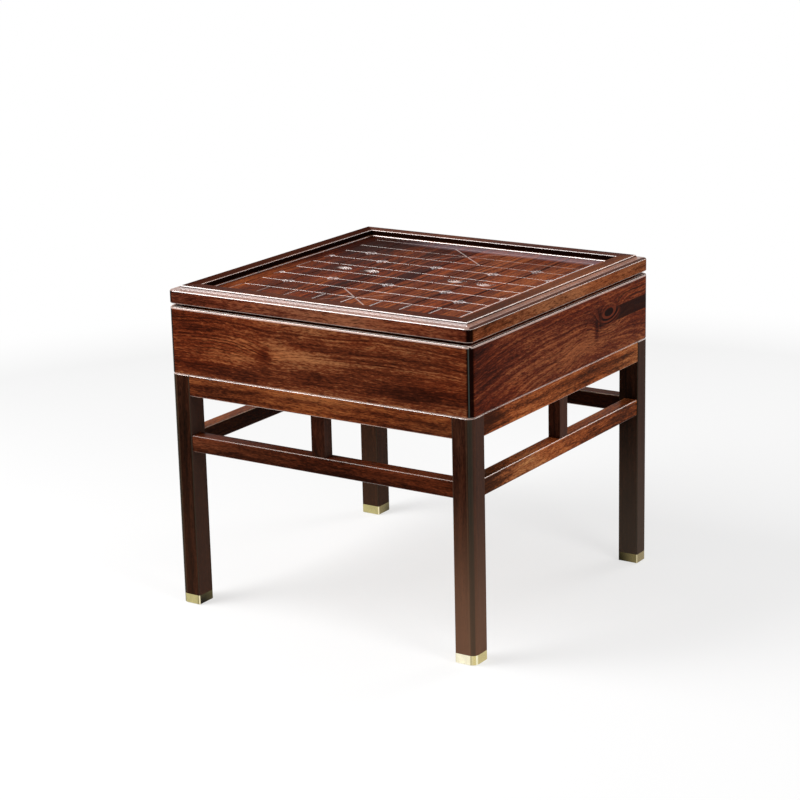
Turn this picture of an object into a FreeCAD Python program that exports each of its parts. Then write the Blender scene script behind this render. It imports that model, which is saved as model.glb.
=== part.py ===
import FreeCAD
import Part
import Sketcher
import os
import re
from FreeCAD import Placement, Rotation, Vector

# Chess table: a lift-off lid with an engraved board, a storage box under it, and a leg frame.
# +Z is up, +X runs right along the front edge and +Y to the back.
# The origin is on the floor in the middle of the footprint. All sizes are in millimetres.

SIZES = [
    ("table_width", 600, "outer width of lid, box and leg frame"),
    ("table_depth", 600, "outer depth of lid, box and leg frame"),
    ("base_height", 415, "floor to the top of the leg frame"),
    ("box_height", 117, "height of the box walls"),
    ("shadow_gap", 5, "open joint between box rim and lid"),
    ("lid_edge_height", 23, "plain side face of the lid"),
    ("raised_height", 6, "step from the lid's ledge up to its frame top"),
    ("corner_round", 12, "radius of the table's upright outer corners"),
    ("edge_round", 2.5, "radius along the level outer edges of lid and box"),
    ("arris_round", 2, "radius along the arrises of the leg frame"),
    ("overrun", 1, "how far a splitting tool passes the piece that it splits"),
    ("ledge_width", 14.5, "ledge round the lid's raised frame"),
    ("raised_lean", 2.5, "how far the raised frame's side leans in over its height"),
    ("frame_width", 42, "width of a lid frame rail, outer face to board opening"),
    ("raised_round", 1.5, "radius along both top edges of the raised frame"),
    ("board_recess", 11.5, "frame top down to the playing surface"),
    ("board_thickness", 12, "thickness of the board panel"),
    ("board_gap", 0.5, "play between the board panel and the frame, each side"),
    ("board_groove", 8, "depth of the groove that holds the board's tongue"),
    ("tongue_drop", 3, "playing surface down to the top of the tongue"),
    ("tongue_thickness", 6, "thickness of the board's tongue"),
    ("bead_width", 4, "width of the bead round the playing surface"),
    ("bead_height", 2.5, "height of the bead above the playing surface"),
    ("bead_round", 2, "radius of the bead's inner edge"),
    ("side_margin", 28, "outer file to the frame's inner wall"),
    ("end_margin", 28.5, "outer rank to the frame's inner wall"),
    ("line_width", 2.6, "width of an engraved line at the surface"),
    ("line_depth", 1.3, "depth of an engraved line, cut to a V"),
    ("mark_gap", 4, "middle of a crossing's lines to the middle of its corner marks"),
    ("mark_arm", 6.5, "length of a corner mark's arm"),
    ("wave_radius", 17, "radius of a river wave's outer arc"),
    ("wave_pitch", 4.4, "step from one arc of a wave to the next"),
    ("batten_width", 36, "width of a batten under the board"),
    ("batten_thickness", 18, "thickness of a batten under the board"),
    ("batten_spacing", 260, "distance between the two battens"),
    ("batten_end_gap", 6, "distance from a batten's end to the lid frame"),
    ("locator_thickness", 10, "thickness of a strip that centres the lid"),
    ("locator_height", 12, "height of a strip that centres the lid"),
    ("locator_end_gap", 20, "open corner between two such strips"),
    ("lid_play", 0.8, "play between those strips and the lid's seat, each side"),
    ("box_wall", 18, "thickness of the box walls"),
    ("seat_thickness", 12, "thickness of a seat strip inside the box"),
    ("seat_height", 45, "height of a seat strip inside the box"),
    ("floor_lift", 10, "bottom of the box walls up to the floor panel"),
    ("floor_thickness", 9, "thickness of the floor panel"),
    ("floor_groove", 5, "depth of the groove that holds the floor panel"),
    ("floor_play", 0.5, "play between the floor panel and its groove, each side"),
    ("floor_batten_width", 40, "width of a batten under the floor panel"),
    ("floor_batten_spacing", 240, "distance between the two floor battens"),
    ("floor_batten_play", 0.5, "play at each end of a floor batten"),
    ("spline_thickness", 4, "thickness of a mitre spline"),
    ("lid_spline_length", 16, "length of a lid spline along the mitre"),
    ("lid_spline_reach", 20, "length of a lid spline across the mitre"),
    ("box_spline_reach", 12, "length of a box spline across the mitre"),
    ("box_spline_margin", 12, "end of a box spline to the edge of the wall"),
    ("dowel_diameter", 6, "diameter of a dowel between box and leg frame"),
    ("dowel_length", 36, "length of a dowel between box and leg frame"),
    ("screw_diameter", 4, "shank diameter of a wood screw"),
    ("screw_head", 8, "head diameter of a wood screw"),
    ("screw_head_height", 3, "height of a wood screw's countersunk head"),
    ("screw_bite", 8, "depth of a wood screw in the piece that it holds to"),
    ("leg_section", 38, "side of a leg's square section"),
    ("rail_height", 37, "height of a top rail"),
    ("rail_thickness", 26, "thickness of a top rail"),
    ("rail_inset", 1, "top rail's outer face behind the leg's"),
    ("rail_tenon_height", 25, "height of a top rail's tenon"),
    ("stretcher_height", 29, "height of a stretcher"),
    ("stretcher_thickness", 26, "thickness of a stretcher"),
    ("stretcher_inset", 2, "stretcher's outer face behind the leg's"),
    ("stretcher_tenon_height", 19, "height of a stretcher's tenon"),
    ("tenon_thickness", 10, "thickness of every tenon in the leg frame"),
    ("tenon_gap", 4, "wood left between the two tenons that meet in a leg"),
    ("strut_height", 69.5, "height of a centre strut between top rail and stretcher"),
    ("strut_width", 27, "width of a centre strut, seen from its side"),
    ("strut_setback", 1.5, "strut's faces behind the stretcher's, both sides"),
    ("strut_tenon_width", 15, "width of a centre strut's tenon"),
    ("strut_tenon_length", 8, "length of a centre strut's tenon"),
    ("cap_height", 16, "height of a brass foot cap"),
    ("cap_wall", 1.2, "thickness of a foot cap's side"),
    ("cap_floor", 1.5, "thickness of a foot cap's bottom"),
    ("glide_thickness", 1.5, "thickness of the glide under a foot cap"),
    ("glide_diameter", 22, "diameter of the glide under a foot cap"),
    ("glide_pin_diameter", 4, "diameter of the glide's pin"),
    ("glide_pin_length", 14, "length of the glide's pin above its disc"),
]

# Levels that several pieces share, from the floor up
LID_BOTTOM = "(base_height + box_height + shadow_gap)"
LID_TOP = "(base_height + box_height + shadow_gap + lid_edge_height + raised_height)"
BOARD_TOP = f"({LID_TOP} - board_recess)"
BOARD_BOTTOM = f"({BOARD_TOP} - board_thickness)"
BOX_FLOOR = "(base_height + floor_lift)"
RAIL_MIDDLE = "(base_height - rail_height / 2)"
STRETCHER_TOP = "(base_height - rail_height - strut_height)"
STRETCHER_MIDDLE = f"({STRETCHER_TOP} - stretcher_height / 2)"

# Where each side's outer face looks, and the turn from the front to it
OUTWARD = {"front": (0, -1), "right": (1, 0), "back": (0, 1), "left": (-1, 0)}
SIDE_TURNS = {"front": 0, "right": 90, "back": 180, "left": 270}
# Where each corner is, and the turn from the front left corner to it
CORNER_SIGNS = {"front_left": (-1, -1), "front_right": (1, -1), "back_right": (1, 1), "back_left": (-1, 1)}
CORNER_TURNS = {"front_left": 0, "front_right": 90, "back_right": 180, "back_left": 270}
# The two sides that meet at each corner
CORNER_SIDES = {
    "front_left": ("front", "left"),
    "front_right": ("front", "right"),
    "back_right": ("back", "right"),
    "back_left": ("back", "left"),
}
FRONT_AND_BACK = {"front": -1, "back": 1}

UP = Vector(0, 0, 1)
HALF_TURN = 180
QUARTER_TURN = 90
# Lays a wedge so that it narrows downwards and runs along the X axis
LYING_WEDGE = Rotation(Vector(0, -1, 0), Vector(0, 0, -1), Vector(1, 0, 0), "XYZ")
# Places of dowels and screws along a side or a batten, as shares of its half length
DOWEL_SHARES = (-0.6, 0, 0.6)
SCREW_SHARES = (-0.75, 0, 0.75)
# How closely two measured places agree when they are the same
SAME_PLACE = 1e-4
# The rounding of a leg's top edges, as a share of its arris radius
TOP_ROUND_SHARE = 0.9

# The board's grid: files to each side of the middle one, and ranks from the middle
FILES_EACH_SIDE = 4
HALF_RANKS = (0.5, 1.5, 2.5, 3.5, 4.5)
FILE_SPACING = f"((table_width - 2 * (frame_width + side_margin)) / {2 * FILES_EACH_SIDE})"
RANK_SPACING = f"((table_depth - 2 * (frame_width + end_margin)) / {2 * HALF_RANKS[-1]})"
PALACE_MIDDLE = 3.5
# Crossings with corner marks: files counted from the middle, ranks from the middle
SOLDIER_FILES = (-4, -2, 0, 2, 4)
SOLDIER_RANK = 1.5
CANNON_FILES = (-3, 3)
CANNON_RANK = 2.5
# River waves: places counted in files from the middle, and how many arcs each one has
WAVE_PLACES = (-2.5, -1.5, 1.5, 2.5)
WAVE_ARCS = 4

ALIAS = re.compile(r"\b(" + "|".join(alias for alias, value, note in SIZES) + r")\b")

doc = FreeCAD.newDocument("chess_table")
nodes = {}


def make_sheet():
    """Write every driving size into the sheet, with its alias and what it means."""
    sheet = doc.addObject("Spreadsheet::Sheet", "Sizes")
    for row, (alias, value, note) in enumerate(SIZES, start=1):
        sheet.set(f"A{row}", alias)
        sheet.set(f"B{row}", str(value))
        sheet.set(f"C{row}", note)
        sheet.setAlias(f"B{row}", alias)
    doc.recompute()


def bind(thing, path, formula):
    """Bind one property to a formula in the sheet's aliases."""
    thing.setExpression(path, ALIAS.sub(r"Sizes.\1", formula))


def place(thing, x="0", y="0", z="0", turn=None):
    """Turn a thing, then bind its position to formulas."""
    if turn is not None:
        thing.Placement = Placement(Vector(), turn)
    bind(thing, ".Placement.Base.x", x)
    bind(thing, ".Placement.Base.y", y)
    bind(thing, ".Placement.Base.z", z)


def about_z(angle):
    return Rotation(UP, angle)


def node(name, thing):
    """Make a thing a sub-part: its label names its file."""
    thing.Label = name
    nodes[name] = thing
    return thing


def span_of(side):
    """The table's outer length along a side."""
    return "table_width" if side in FRONT_AND_BACK else "table_depth"


def side_spot(side, inset, along="0"):
    """The point behind a side's outer face by inset, and along it from the middle."""
    out_x, out_y = OUTWARD[side]
    reach = "table_depth" if side in FRONT_AND_BACK else "table_width"
    back = f"({reach} / 2 - ({inset}))"
    x = f"{out_x} * {back} + {-out_y} * ({along})"
    y = f"{out_y} * {back} + {out_x} * ({along})"
    return x, y


def corner_spot(corner, inward, across="0"):
    """The point inward from a corner along its diagonal, and across the diagonal."""
    sign_x, sign_y = CORNER_SIGNS[corner]
    x = f"{sign_x} * table_width / 2 + ({-sign_x} * ({inward}) + {sign_y} * ({across})) / sqrt(2)"
    y = f"{sign_y} * table_depth / 2 + ({-sign_y} * ({inward}) + {-sign_x} * ({across})) / sqrt(2)"
    return x, y


def block(name, length, width, height):
    """A plain rectangular block from its own corner."""
    box = doc.addObject("Part::Box", name)
    bind(box, "Length", length)
    bind(box, "Width", width)
    bind(box, "Height", height)
    return box


def centred_block(name, length, width, height, x, y, z):
    """A block along the axes whose plan is centred at a point, from level z up."""
    box = block(name, length, width, height)
    place(box, f"{x} - ({length}) / 2", f"{y} - ({width}) / 2", z)
    return box


def rod(name, diameter, length):
    """A round rod along its own Z axis."""
    cylinder = doc.addObject("Part::Cylinder", name)
    bind(cylinder, "Radius", f"({diameter}) / 2")
    bind(cylinder, "Height", length)
    return cylinder


def fuse(name, things):
    joined = doc.addObject("Part::MultiFuse", name)
    joined.Shapes = things
    return joined


def cut(name, base, tool):
    rest = doc.addObject("Part::Cut", name)
    rest.Base = base
    rest.Tool = tool
    return rest


def rectangle(body, name, plane, width, depth, centred=True, lift="0"):
    """A rectangle sketch on an origin plane: round the origin, or from it."""
    sketch = body.newObject("Sketcher::SketchObject", name)
    origin_plane = next(part for part in body.Origin.OriginFeatures if part.Role == plane)
    sketch.AttachmentSupport = [(origin_plane, "")]
    sketch.MapMode = "FlatFace"
    bind(sketch, ".AttachmentOffset.Base.z", lift)
    corners = [Vector(0, 0), Vector(1, 0), Vector(1, 1), Vector(0, 1)]
    for start, end in zip(corners, corners[1:] + corners[:1]):
        sketch.addGeometry(Part.LineSegment(start, end), False)
    for line in range(len(corners)):
        following = (line + 1) % len(corners)
        sketch.addConstraint(Sketcher.Constraint("Coincident", line, 2, following, 1))
        sketch.addConstraint(Sketcher.Constraint("Vertical" if line % 2 else "Horizontal", line))
    if centred:
        sketch.addConstraint(Sketcher.Constraint("Symmetric", 0, 1, 2, 1, -1, 1))
    else:
        sketch.addConstraint(Sketcher.Constraint("Coincident", 0, 1, -1, 1))
    for label, kind, line in (("width", "DistanceX", 0), ("depth", "DistanceY", 1)):
        number = sketch.addConstraint(Sketcher.Constraint(kind, line, 1, line, 2, 1))
        sketch.renameConstraint(number, label)
    bind(sketch, "Constraints.width", width)
    bind(sketch, "Constraints.depth", depth)
    return sketch


def pad(body, sketch, length, symmetric=False):
    feature = body.newObject("PartDesign::Pad", sketch.Name + "_pad")
    feature.Profile = sketch
    feature.SideType = "Symmetric" if symmetric else "One side"
    bind(feature, "Length", length)
    doc.recompute()
    return feature


def pocket(body, sketch, length):
    """Cut from a sketch downwards, and make sure that something was cut."""
    before = body.Shape.Volume
    feature = body.newObject("PartDesign::Pocket", sketch.Name + "_pocket")
    feature.Profile = sketch
    bind(feature, "Length", length)
    doc.recompute()
    if not body.Shape.Volume < before:
        raise RuntimeError(f"{feature.Name} cuts nothing")
    return feature


def round_edges(body, name, radius, wanted):
    """Round the edges of the body's solid that a test picks."""
    shape = body.Shape
    picked = [f"Edge{i}" for i, edge in enumerate(shape.Edges, start=1) if wanted(edge, shape)]
    if not picked:
        raise RuntimeError(f"{name} finds no edge")
    base = body.Tip
    feature = body.newObject("PartDesign::Fillet", name)
    feature.Base = (base, picked)
    bind(feature, "Radius", radius)
    doc.recompute()
    return feature


def is_level(thing, height):
    """Does this edge or face lie flat at a height?"""
    box = thing.BoundBox
    return abs(box.ZMin - height) < SAME_PLACE and abs(box.ZMax - height) < SAME_PLACE


def upright(edge, solid):
    return edge.BoundBox.XLength < SAME_PLACE and edge.BoundBox.YLength < SAME_PLACE


def runs_along_x(edge, solid):
    return edge.BoundBox.YLength < SAME_PLACE and edge.BoundBox.ZLength < SAME_PLACE


def on_top(edge, solid):
    return is_level(edge, solid.BoundBox.ZMax)


def on_top_or_bottom(edge, solid):
    return on_top(edge, solid) or is_level(edge, solid.BoundBox.ZMin)


def round_opening(edge, solid):
    """Is this an edge of the opening in the solid's top face?"""
    tops = [face for face in solid.Faces if on_top(face, solid)]
    holes = [wire for top in tops for wire in top.Wires if not wire.isSame(top.OuterWire)]
    return any(edge.isSame(rim) for wire in holes for rim in wire.Edges)


def new_body(name):
    return doc.addObject("PartDesign::Body", name)


def mitred(ring, prefix, depth, bottom, height, inset="0"):
    """Split a ring into four mitred pieces, one for each side."""
    pieces = {}
    for side, turn in SIDE_TURNS.items():
        half = f"({span_of(side)} / 2 - ({inset}))"
        wedge = doc.addObject("Part::Wedge", f"{prefix}_{side}_wedge")
        bind(wedge, "Xmin", f"-({half} + overrun)")
        bind(wedge, "Xmax", f"{half} + overrun")
        bind(wedge, "X2min", f"-({half} - ({depth}) - overrun)")
        bind(wedge, "X2max", f"{half} - ({depth}) - overrun")
        bind(wedge, "Ymin", "-overrun")
        bind(wedge, "Ymax", f"{depth} + overrun")
        for low, high in (("Zmin", "Zmax"), ("Z2min", "Z2max")):
            bind(wedge, low, "-overrun")
            bind(wedge, high, f"{height} + overrun")
        place(wedge, *side_spot(side, inset), bottom, about_z(turn))
        piece = doc.addObject("Part::Common", f"{prefix}_{side}")
        piece.Base = ring
        piece.Tool = wedge
        pieces[side] = node(f"{prefix}_{side}", piece)
    return pieces


def bar(name, length, thickness, height, tenon_reach, tenon_height):
    """A level bar along its own X axis, rounded along its arrises, with a tenon at each end."""
    body = new_body(name)
    pad(body, rectangle(body, f"{name}_section", "YZ_Plane", thickness, height), length, True)
    round_edges(body, f"{name}_arrises", "arris_round", runs_along_x)
    section = rectangle(body, f"{name}_tenon", "YZ_Plane", "tenon_thickness", tenon_height)
    pad(body, section, f"{length} + 2 * {tenon_reach}", True)
    return body


def corner_post(name, corner, inset, bottom, height, outer_round, other_round):
    """An upright of square section in a corner, rounded more on its outer corner."""
    sign_x, sign_y = CORNER_SIGNS[corner]
    body = new_body(name)
    side = f"leg_section - 2 * ({inset})"
    sketch = rectangle(body, f"{name}_section", "XY_Plane", side, side, centred=False)
    pad(body, sketch, height)
    round_edges(body, f"{name}_outer", outer_round, at_outer_corner)
    round_edges(body, f"{name}_arrises", other_round, at_sharp_corner)
    x = f"{sign_x} * (table_width / 2 - ({inset}))"
    y = f"{sign_y} * (table_depth / 2 - ({inset}))"
    place(body, x, y, bottom, about_z(CORNER_TURNS[corner]))
    doc.recompute()
    return body


def at_outer_corner(edge, solid):
    """Is this the upright edge in the corner nearest the post's own origin?"""
    spot = edge.BoundBox
    middle = solid.BoundBox.Center
    return upright(edge, solid) and spot.XMax < middle.x and spot.YMax < middle.y


def at_sharp_corner(edge, solid):
    """Is this an upright edge that still stands on a corner of the section's square?"""
    spot = edge.BoundBox
    whole = solid.BoundBox
    on_x = min(abs(spot.XMax - whole.XMin), abs(spot.XMax - whole.XMax)) < SAME_PLACE
    on_y = min(abs(spot.YMax - whole.YMin), abs(spot.YMax - whole.YMax)) < SAME_PLACE
    return upright(edge, solid) and on_x and on_y


def screw(name, length, x, y, z, turn):
    """A countersunk wood screw that starts with its head and runs along its own Z axis."""
    head = doc.addObject("Part::Cone", f"{name}_head")
    bind(head, "Radius1", "screw_head / 2")
    bind(head, "Radius2", "screw_diameter / 2")
    bind(head, "Height", "screw_head_height")
    shank = rod(f"{name}_shank", "screw_diameter", length)
    for piece in (head, shank):
        place(piece, x, y, z, turn)
    return [head, shank]


def make_lid_ring():
    """The lid's frame before it is split: ledge, raised top, board opening and groove."""
    body = new_body("lid_ring")
    slab = rectangle(body, "lid_slab", "XY_Plane", "table_width", "table_depth")
    pad(body, slab, "lid_edge_height")
    round_edges(body, "lid_corners", "corner_round", upright)
    round_edges(body, "lid_edges", "edge_round", on_top_or_bottom)
    raised = rectangle(
        body, "lid_raised", "XY_Plane",
        "table_width - 2 * ledge_width", "table_depth - 2 * ledge_width", lift="lid_edge_height",
    )
    frame_top = pad(body, raised, "raised_height")
    bind(frame_top, "TaperAngle", "-atan(raised_lean / raised_height)")
    doc.recompute()
    round_edges(body, "lid_raised_edges", "raised_round", on_top)
    opening_width = "table_width - 2 * frame_width"
    opening_depth = "table_depth - 2 * frame_width"
    full_height = "lid_edge_height + raised_height"
    opening = rectangle(body, "lid_opening", "XY_Plane", opening_width, opening_depth, lift=full_height)
    pocket(body, opening, full_height)
    round_edges(body, "lid_opening_edges", "raised_round", round_opening)
    groove = rectangle(
        body, "lid_groove", "XY_Plane",
        f"{opening_width} + 2 * board_groove", f"{opening_depth} + 2 * board_groove",
        lift=f"{full_height} - board_recess - tongue_drop",
    )
    pocket(body, groove, "tongue_thickness")
    place(body, z=LID_BOTTOM)
    return body


def make_splines(name, inward, length, reach, bottom, height):
    """Four loose tongues, each across the mitre of one corner."""
    tongues = []
    for corner, turn in CORNER_TURNS.items():
        tongue = block(f"{name}_{corner}", length, reach, height)
        start = corner_spot(corner, f"{inward} - ({length}) / 2", f"-({reach}) / 2")
        place(tongue, *start, bottom, about_z(turn + QUARTER_TURN / 2))
        tongues.append(tongue)
    return node(name, fuse(name, tongues))


def make_lid_frame():
    ring = make_lid_ring()
    splines = make_splines(
        "lid_splines", "(frame_width - board_groove) / sqrt(2)", "lid_spline_length",
        "lid_spline_reach", f"{LID_BOTTOM} + (lid_edge_height - spline_thickness) / 2", "spline_thickness",
    )
    slotted = cut("lid_ring_slotted", ring, splines)
    mitred(slotted, "lid_frame", "frame_width", LID_BOTTOM, "lid_edge_height + raised_height")


def make_lid_beads():
    """A small rounded bead on the playing surface, along the frame's inner wall."""
    body = new_body("bead_ring")
    width = "table_width - 2 * frame_width"
    depth = "table_depth - 2 * frame_width"
    pad(body, rectangle(body, "bead_outer", "XY_Plane", width, depth), "bead_height")
    inner = rectangle(
        body, "bead_inner", "XY_Plane", f"{width} - 2 * bead_width", f"{depth} - 2 * bead_width",
        lift="bead_height",
    )
    pocket(body, inner, "bead_height")

    round_edges(body, "bead_round_edge", "bead_round", round_opening)
    place(body, z=BOARD_TOP)
    mitred(body, "lid_bead", "bead_width", BOARD_TOP, "bead_height", inset="frame_width")


def groove(name, length):
    """A V-shaped cutter along the X axis, its open side at level zero and its edge down."""
    cutter = doc.addObject("Part::Wedge", name)
    bind(cutter, "Xmin", "-line_width / 2")
    bind(cutter, "Xmax", "line_width / 2")
    bind(cutter, "X2min", "0")
    bind(cutter, "X2max", "0")
    bind(cutter, "Ymin", "0")
    bind(cutter, "Ymax", "line_depth")
    for low, high in (("Zmin", "Zmax"), ("Z2min", "Z2max")):
        bind(cutter, low, f"-({length}) / 2")
        bind(cutter, high, f"({length}) / 2")
    cutter.Placement = Placement(Vector(), LYING_WEDGE)
    return cutter


def line(name, x, y, length, across=False):
    """A groove in the playing surface with its middle at a point, along or across the files."""
    cutter = groove(name, length)
    turn = LYING_WEDGE if across else about_z(QUARTER_TURN).multiply(LYING_WEDGE)
    place(cutter, x, y, BOARD_TOP, turn)
    return cutter


def rank_and_file_lines():
    """Ten ranks, and nine files of which the seven inner ones stop at the river."""
    lines = []
    rank_length = f"{2 * FILES_EACH_SIDE} * {FILE_SPACING} + line_width"
    full_file = f"{2 * HALF_RANKS[-1]} * {RANK_SPACING} + line_width"
    half_file = f"{HALF_RANKS[-1] - HALF_RANKS[0]} * {RANK_SPACING} + line_width"
    half_middle = (HALF_RANKS[-1] + HALF_RANKS[0]) / 2
    for end, sign in FRONT_AND_BACK.items():
        for number, share in enumerate(HALF_RANKS):
            place_y = f"{sign * share} * {RANK_SPACING}"
            lines.append(line(f"rank_{end}_{number}", "0", place_y, rank_length, across=True))
        for step in range(1 - FILES_EACH_SIDE, FILES_EACH_SIDE):
            name = f"file_{end}_{step + FILES_EACH_SIDE}"
            middle = f"{sign * half_middle} * {RANK_SPACING}"
            lines.append(line(name, f"{step} * {FILE_SPACING}", middle, half_file))
    for sign in (-1, 1):
        place_x = f"{sign * FILES_EACH_SIDE} * {FILE_SPACING}"
        lines.append(line(f"file_outer_{sign + 1}", place_x, "0", full_file))
    return lines


def palace_lines():
    """Two crossing diagonals in each palace."""
    lines = []
    length = f"2 * hypot({FILE_SPACING}; {RANK_SPACING})"
    rising = f"atan({RANK_SPACING} / {FILE_SPACING})"
    falling = f"({HALF_TURN} deg - {rising})"
    for end, sign in FRONT_AND_BACK.items():
        for lean, slope in (("rising", rising), ("falling", falling)):
            turned = doc.addObject("Part::Compound", f"palace_{end}_{lean}")
            turned.Links = [groove(f"palace_{end}_{lean}_line", length)]
            place(turned, "0", f"{sign * PALACE_MIDDLE} * {RANK_SPACING}", BOARD_TOP, about_z(1))
            bind(turned, ".Placement.Rotation.Angle", slope)
            lines.append(turned)
    return lines


def corner_marks(file_step, rank_share):
    """The small angles round a starting point, only inward at the board's sides."""
    marks = []
    length = "(mark_arm + line_width / 2)"
    middle = "(mark_gap + mark_arm / 2 - line_width / 4)"
    for side_x in (-1, 1):
        if abs(file_step + side_x) > FILES_EACH_SIDE:
            continue
        for side_y in (-1, 1):
            x = f"{file_step} * {FILE_SPACING} + {side_x}"
            y = f"{rank_share} * {RANK_SPACING} + {side_y}"
            marks.append(line("mark_across", f"{x} * {middle}", f"{y} * mark_gap", length, across=True))
            marks.append(line("mark_along", f"{x} * mark_gap", f"{y} * {middle}", length))
    return marks


def river_wave(number, place_share):
    """Concentric half rings, a traditional wave, in the middle of a river field."""
    facing = 1 if place_share < 0 else -1
    turn = about_z(0 if facing > 0 else HALF_TURN)
    arcs = []
    for step in range(WAVE_ARCS):
        middle_radius = f"(wave_radius - {step} * wave_pitch)"
        walls = []
        for wall, sign in (("outer", "+"), ("inner", "-")):
            cone = doc.addObject("Part::Cone", f"wave_{number}_{step}_{wall}")
            bind(cone, "Radius1", middle_radius)
            bind(cone, "Radius2", f"{middle_radius} {sign} line_width / 2")
            bind(cone, "Height", "line_depth")
            place(
                cone, f"{place_share} * {FILE_SPACING}", f"{-facing} * wave_radius / 2",
                f"{BOARD_TOP} - line_depth", turn,
            )
            walls.append(cone)
        walls[0].Angle = HALF_TURN
        arcs.append(cut(f"wave_{number}_{step}", *walls))
    return arcs


def make_engraving():
    """The tool that cuts every line, mark and wave into the playing surface."""
    pieces = rank_and_file_lines() + palace_lines()
    for sign in (-1, 1):
        for step in SOLDIER_FILES:
            pieces += corner_marks(step, sign * SOLDIER_RANK)
        for step in CANNON_FILES:
            pieces += corner_marks(step, sign * CANNON_RANK)
    for number, place_share in enumerate(WAVE_PLACES):
        pieces += river_wave(number, place_share)
    return fuse("engraving", pieces)


def make_batten_screws():
    screws = []
    length = "batten_thickness + screw_bite"
    half = "(table_width / 2 - frame_width - batten_end_gap)"
    for end, sign in FRONT_AND_BACK.items():
        for number, share in enumerate(SCREW_SHARES):
            x = f"{share} * {half}"
            y = f"{sign} * batten_spacing / 2"
            z = f"{BOARD_BOTTOM} - batten_thickness"
            screws += screw(f"batten_screw_{end}_{number}", length, x, y, z, about_z(0))
    return node("batten_screws", fuse("batten_screws", screws))


def make_board():
    """The board panel with its tongue, engraved and cut for the screws, and its battens."""
    gap = "2 * (frame_width + board_gap)"
    slab = centred_block(
        "board_slab", f"table_width - {gap}", f"table_depth - {gap}", "board_thickness",
        "0", "0", BOARD_BOTTOM,
    )
    reach = "2 * (frame_width - board_groove + board_gap)"
    tongue = centred_block(
        "board_tongue", f"table_width - {reach}", f"table_depth - {reach}", "tongue_thickness",
        "0", "0", f"{BOARD_TOP} - tongue_drop - tongue_thickness",
    )
    engraving = make_engraving()
    screws = make_batten_screws()
    blank = fuse("board_blank", [slab, tongue])
    node("chess_board", cut("chess_board", blank, fuse("board_tools", [engraving, screws])))
    for end, sign in FRONT_AND_BACK.items():
        batten = centred_block(
            f"lid_batten_{end}_blank", "table_width - 2 * (frame_width + batten_end_gap)",
            "batten_width", "batten_thickness",
            "0", f"{sign} * batten_spacing / 2", f"{BOARD_BOTTOM} - batten_thickness",
        )
        node(f"lid_batten_{end}", cut(f"lid_batten_{end}", batten, screws))


def make_locators():
    """Strips under the lid's frame that centre the lid inside its seat."""
    inset = "(box_wall + seat_thickness + lid_play)"
    for side, turn in SIDE_TURNS.items():
        length = f"{span_of(side)} - 2 * ({inset} + locator_thickness + locator_end_gap)"
        strip = block(f"lid_locator_{side}", length, "locator_thickness", "locator_height")
        start = side_spot(side, inset, f"-({length}) / 2")
        place(strip, *start, f"{LID_BOTTOM} - locator_height", about_z(turn))
        node(f"lid_locator_{side}", strip)


def make_box_ring():
    """The box walls before they are split: outer block, cavity and floor groove."""
    body = new_body("box_ring")
    pad(body, rectangle(body, "box_outer", "XY_Plane", "table_width", "table_depth"), "box_height")
    round_edges(body, "box_corners", "corner_round", upright)
    round_edges(body, "box_edges", "edge_round", on_top_or_bottom)
    width = "table_width - 2 * box_wall"
    depth = "table_depth - 2 * box_wall"
    pocket(body, rectangle(body, "box_cavity", "XY_Plane", width, depth, lift="box_height"), "box_height")
    groove = rectangle(
        body, "box_groove", "XY_Plane", f"{width} + 2 * floor_groove", f"{depth} + 2 * floor_groove",
        lift="floor_lift + floor_thickness",
    )
    pocket(body, groove, "floor_thickness")
    place(body, z="base_height")
    return body


def make_dowels():
    """Dowels from the top rails up into the box walls, clear of the floor panel's groove."""
    dowels = []
    inset = "(rail_inset + box_wall - floor_groove) / 2"
    for side in SIDE_TURNS:
        for number, share in enumerate(DOWEL_SHARES):
            dowel = rod(f"box_dowel_{side}_{number}", "dowel_diameter", "dowel_length")
            along = f"{share} * ({span_of(side)} / 2 - leg_section)"
            place(dowel, *side_spot(side, inset, along), "base_height - dowel_length / 2")
            dowels.append(dowel)
    return node("box_dowels", fuse("box_dowels", dowels))


def make_seat_screws():
    """Screws from inside the box through each seat strip into the wall behind it."""
    screws = []
    for side, (out_x, out_y) in OUTWARD.items():
        outward = Rotation(UP, Vector(out_x, out_y, 0))
        for number, share in enumerate(SCREW_SHARES):
            along = f"{share} * ({span_of(side)} / 2 - box_wall - seat_thickness)"
            spot = side_spot(side, "box_wall + seat_thickness", along)
            height = f"{LID_BOTTOM} - seat_height / 2"
            screws += screw(
                f"seat_screw_{side}_{number}", "seat_thickness + screw_bite", *spot, height, outward,
            )
    return node("seat_screws", fuse("seat_screws", screws))


def make_seat(screws):
    """Strips inside the walls whose tops stand above the rim and carry the lid."""
    for side, turn in SIDE_TURNS.items():
        corner = "box_wall" if side in FRONT_AND_BACK else "(box_wall + seat_thickness)"
        length = f"{span_of(side)} - 2 * {corner}"
        strip = block(f"seat_strip_{side}_blank", length, "seat_thickness", "seat_height")
        start = side_spot(side, "box_wall", f"-({length}) / 2")
        place(strip, *start, f"{LID_BOTTOM} - seat_height", about_z(turn))
        node(f"seat_strip_{side}", cut(f"seat_strip_{side}", strip, screws))


def make_floor():
    reach = "2 * (box_wall - floor_groove + floor_play)"
    panel = centred_block(
        "box_floor", f"table_width - {reach}", f"table_depth - {reach}", "floor_thickness",
        "0", "0", BOX_FLOOR,
    )
    node("box_floor", panel)
    for end, sign in FRONT_AND_BACK.items():
        batten = centred_block(
            f"floor_batten_{end}", "table_width - 2 * (box_wall + floor_batten_play)",
            "floor_batten_width", "floor_lift",
            "0", f"{sign} * floor_batten_spacing / 2", "base_height",
        )
        node(f"floor_batten_{end}", batten)


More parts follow.
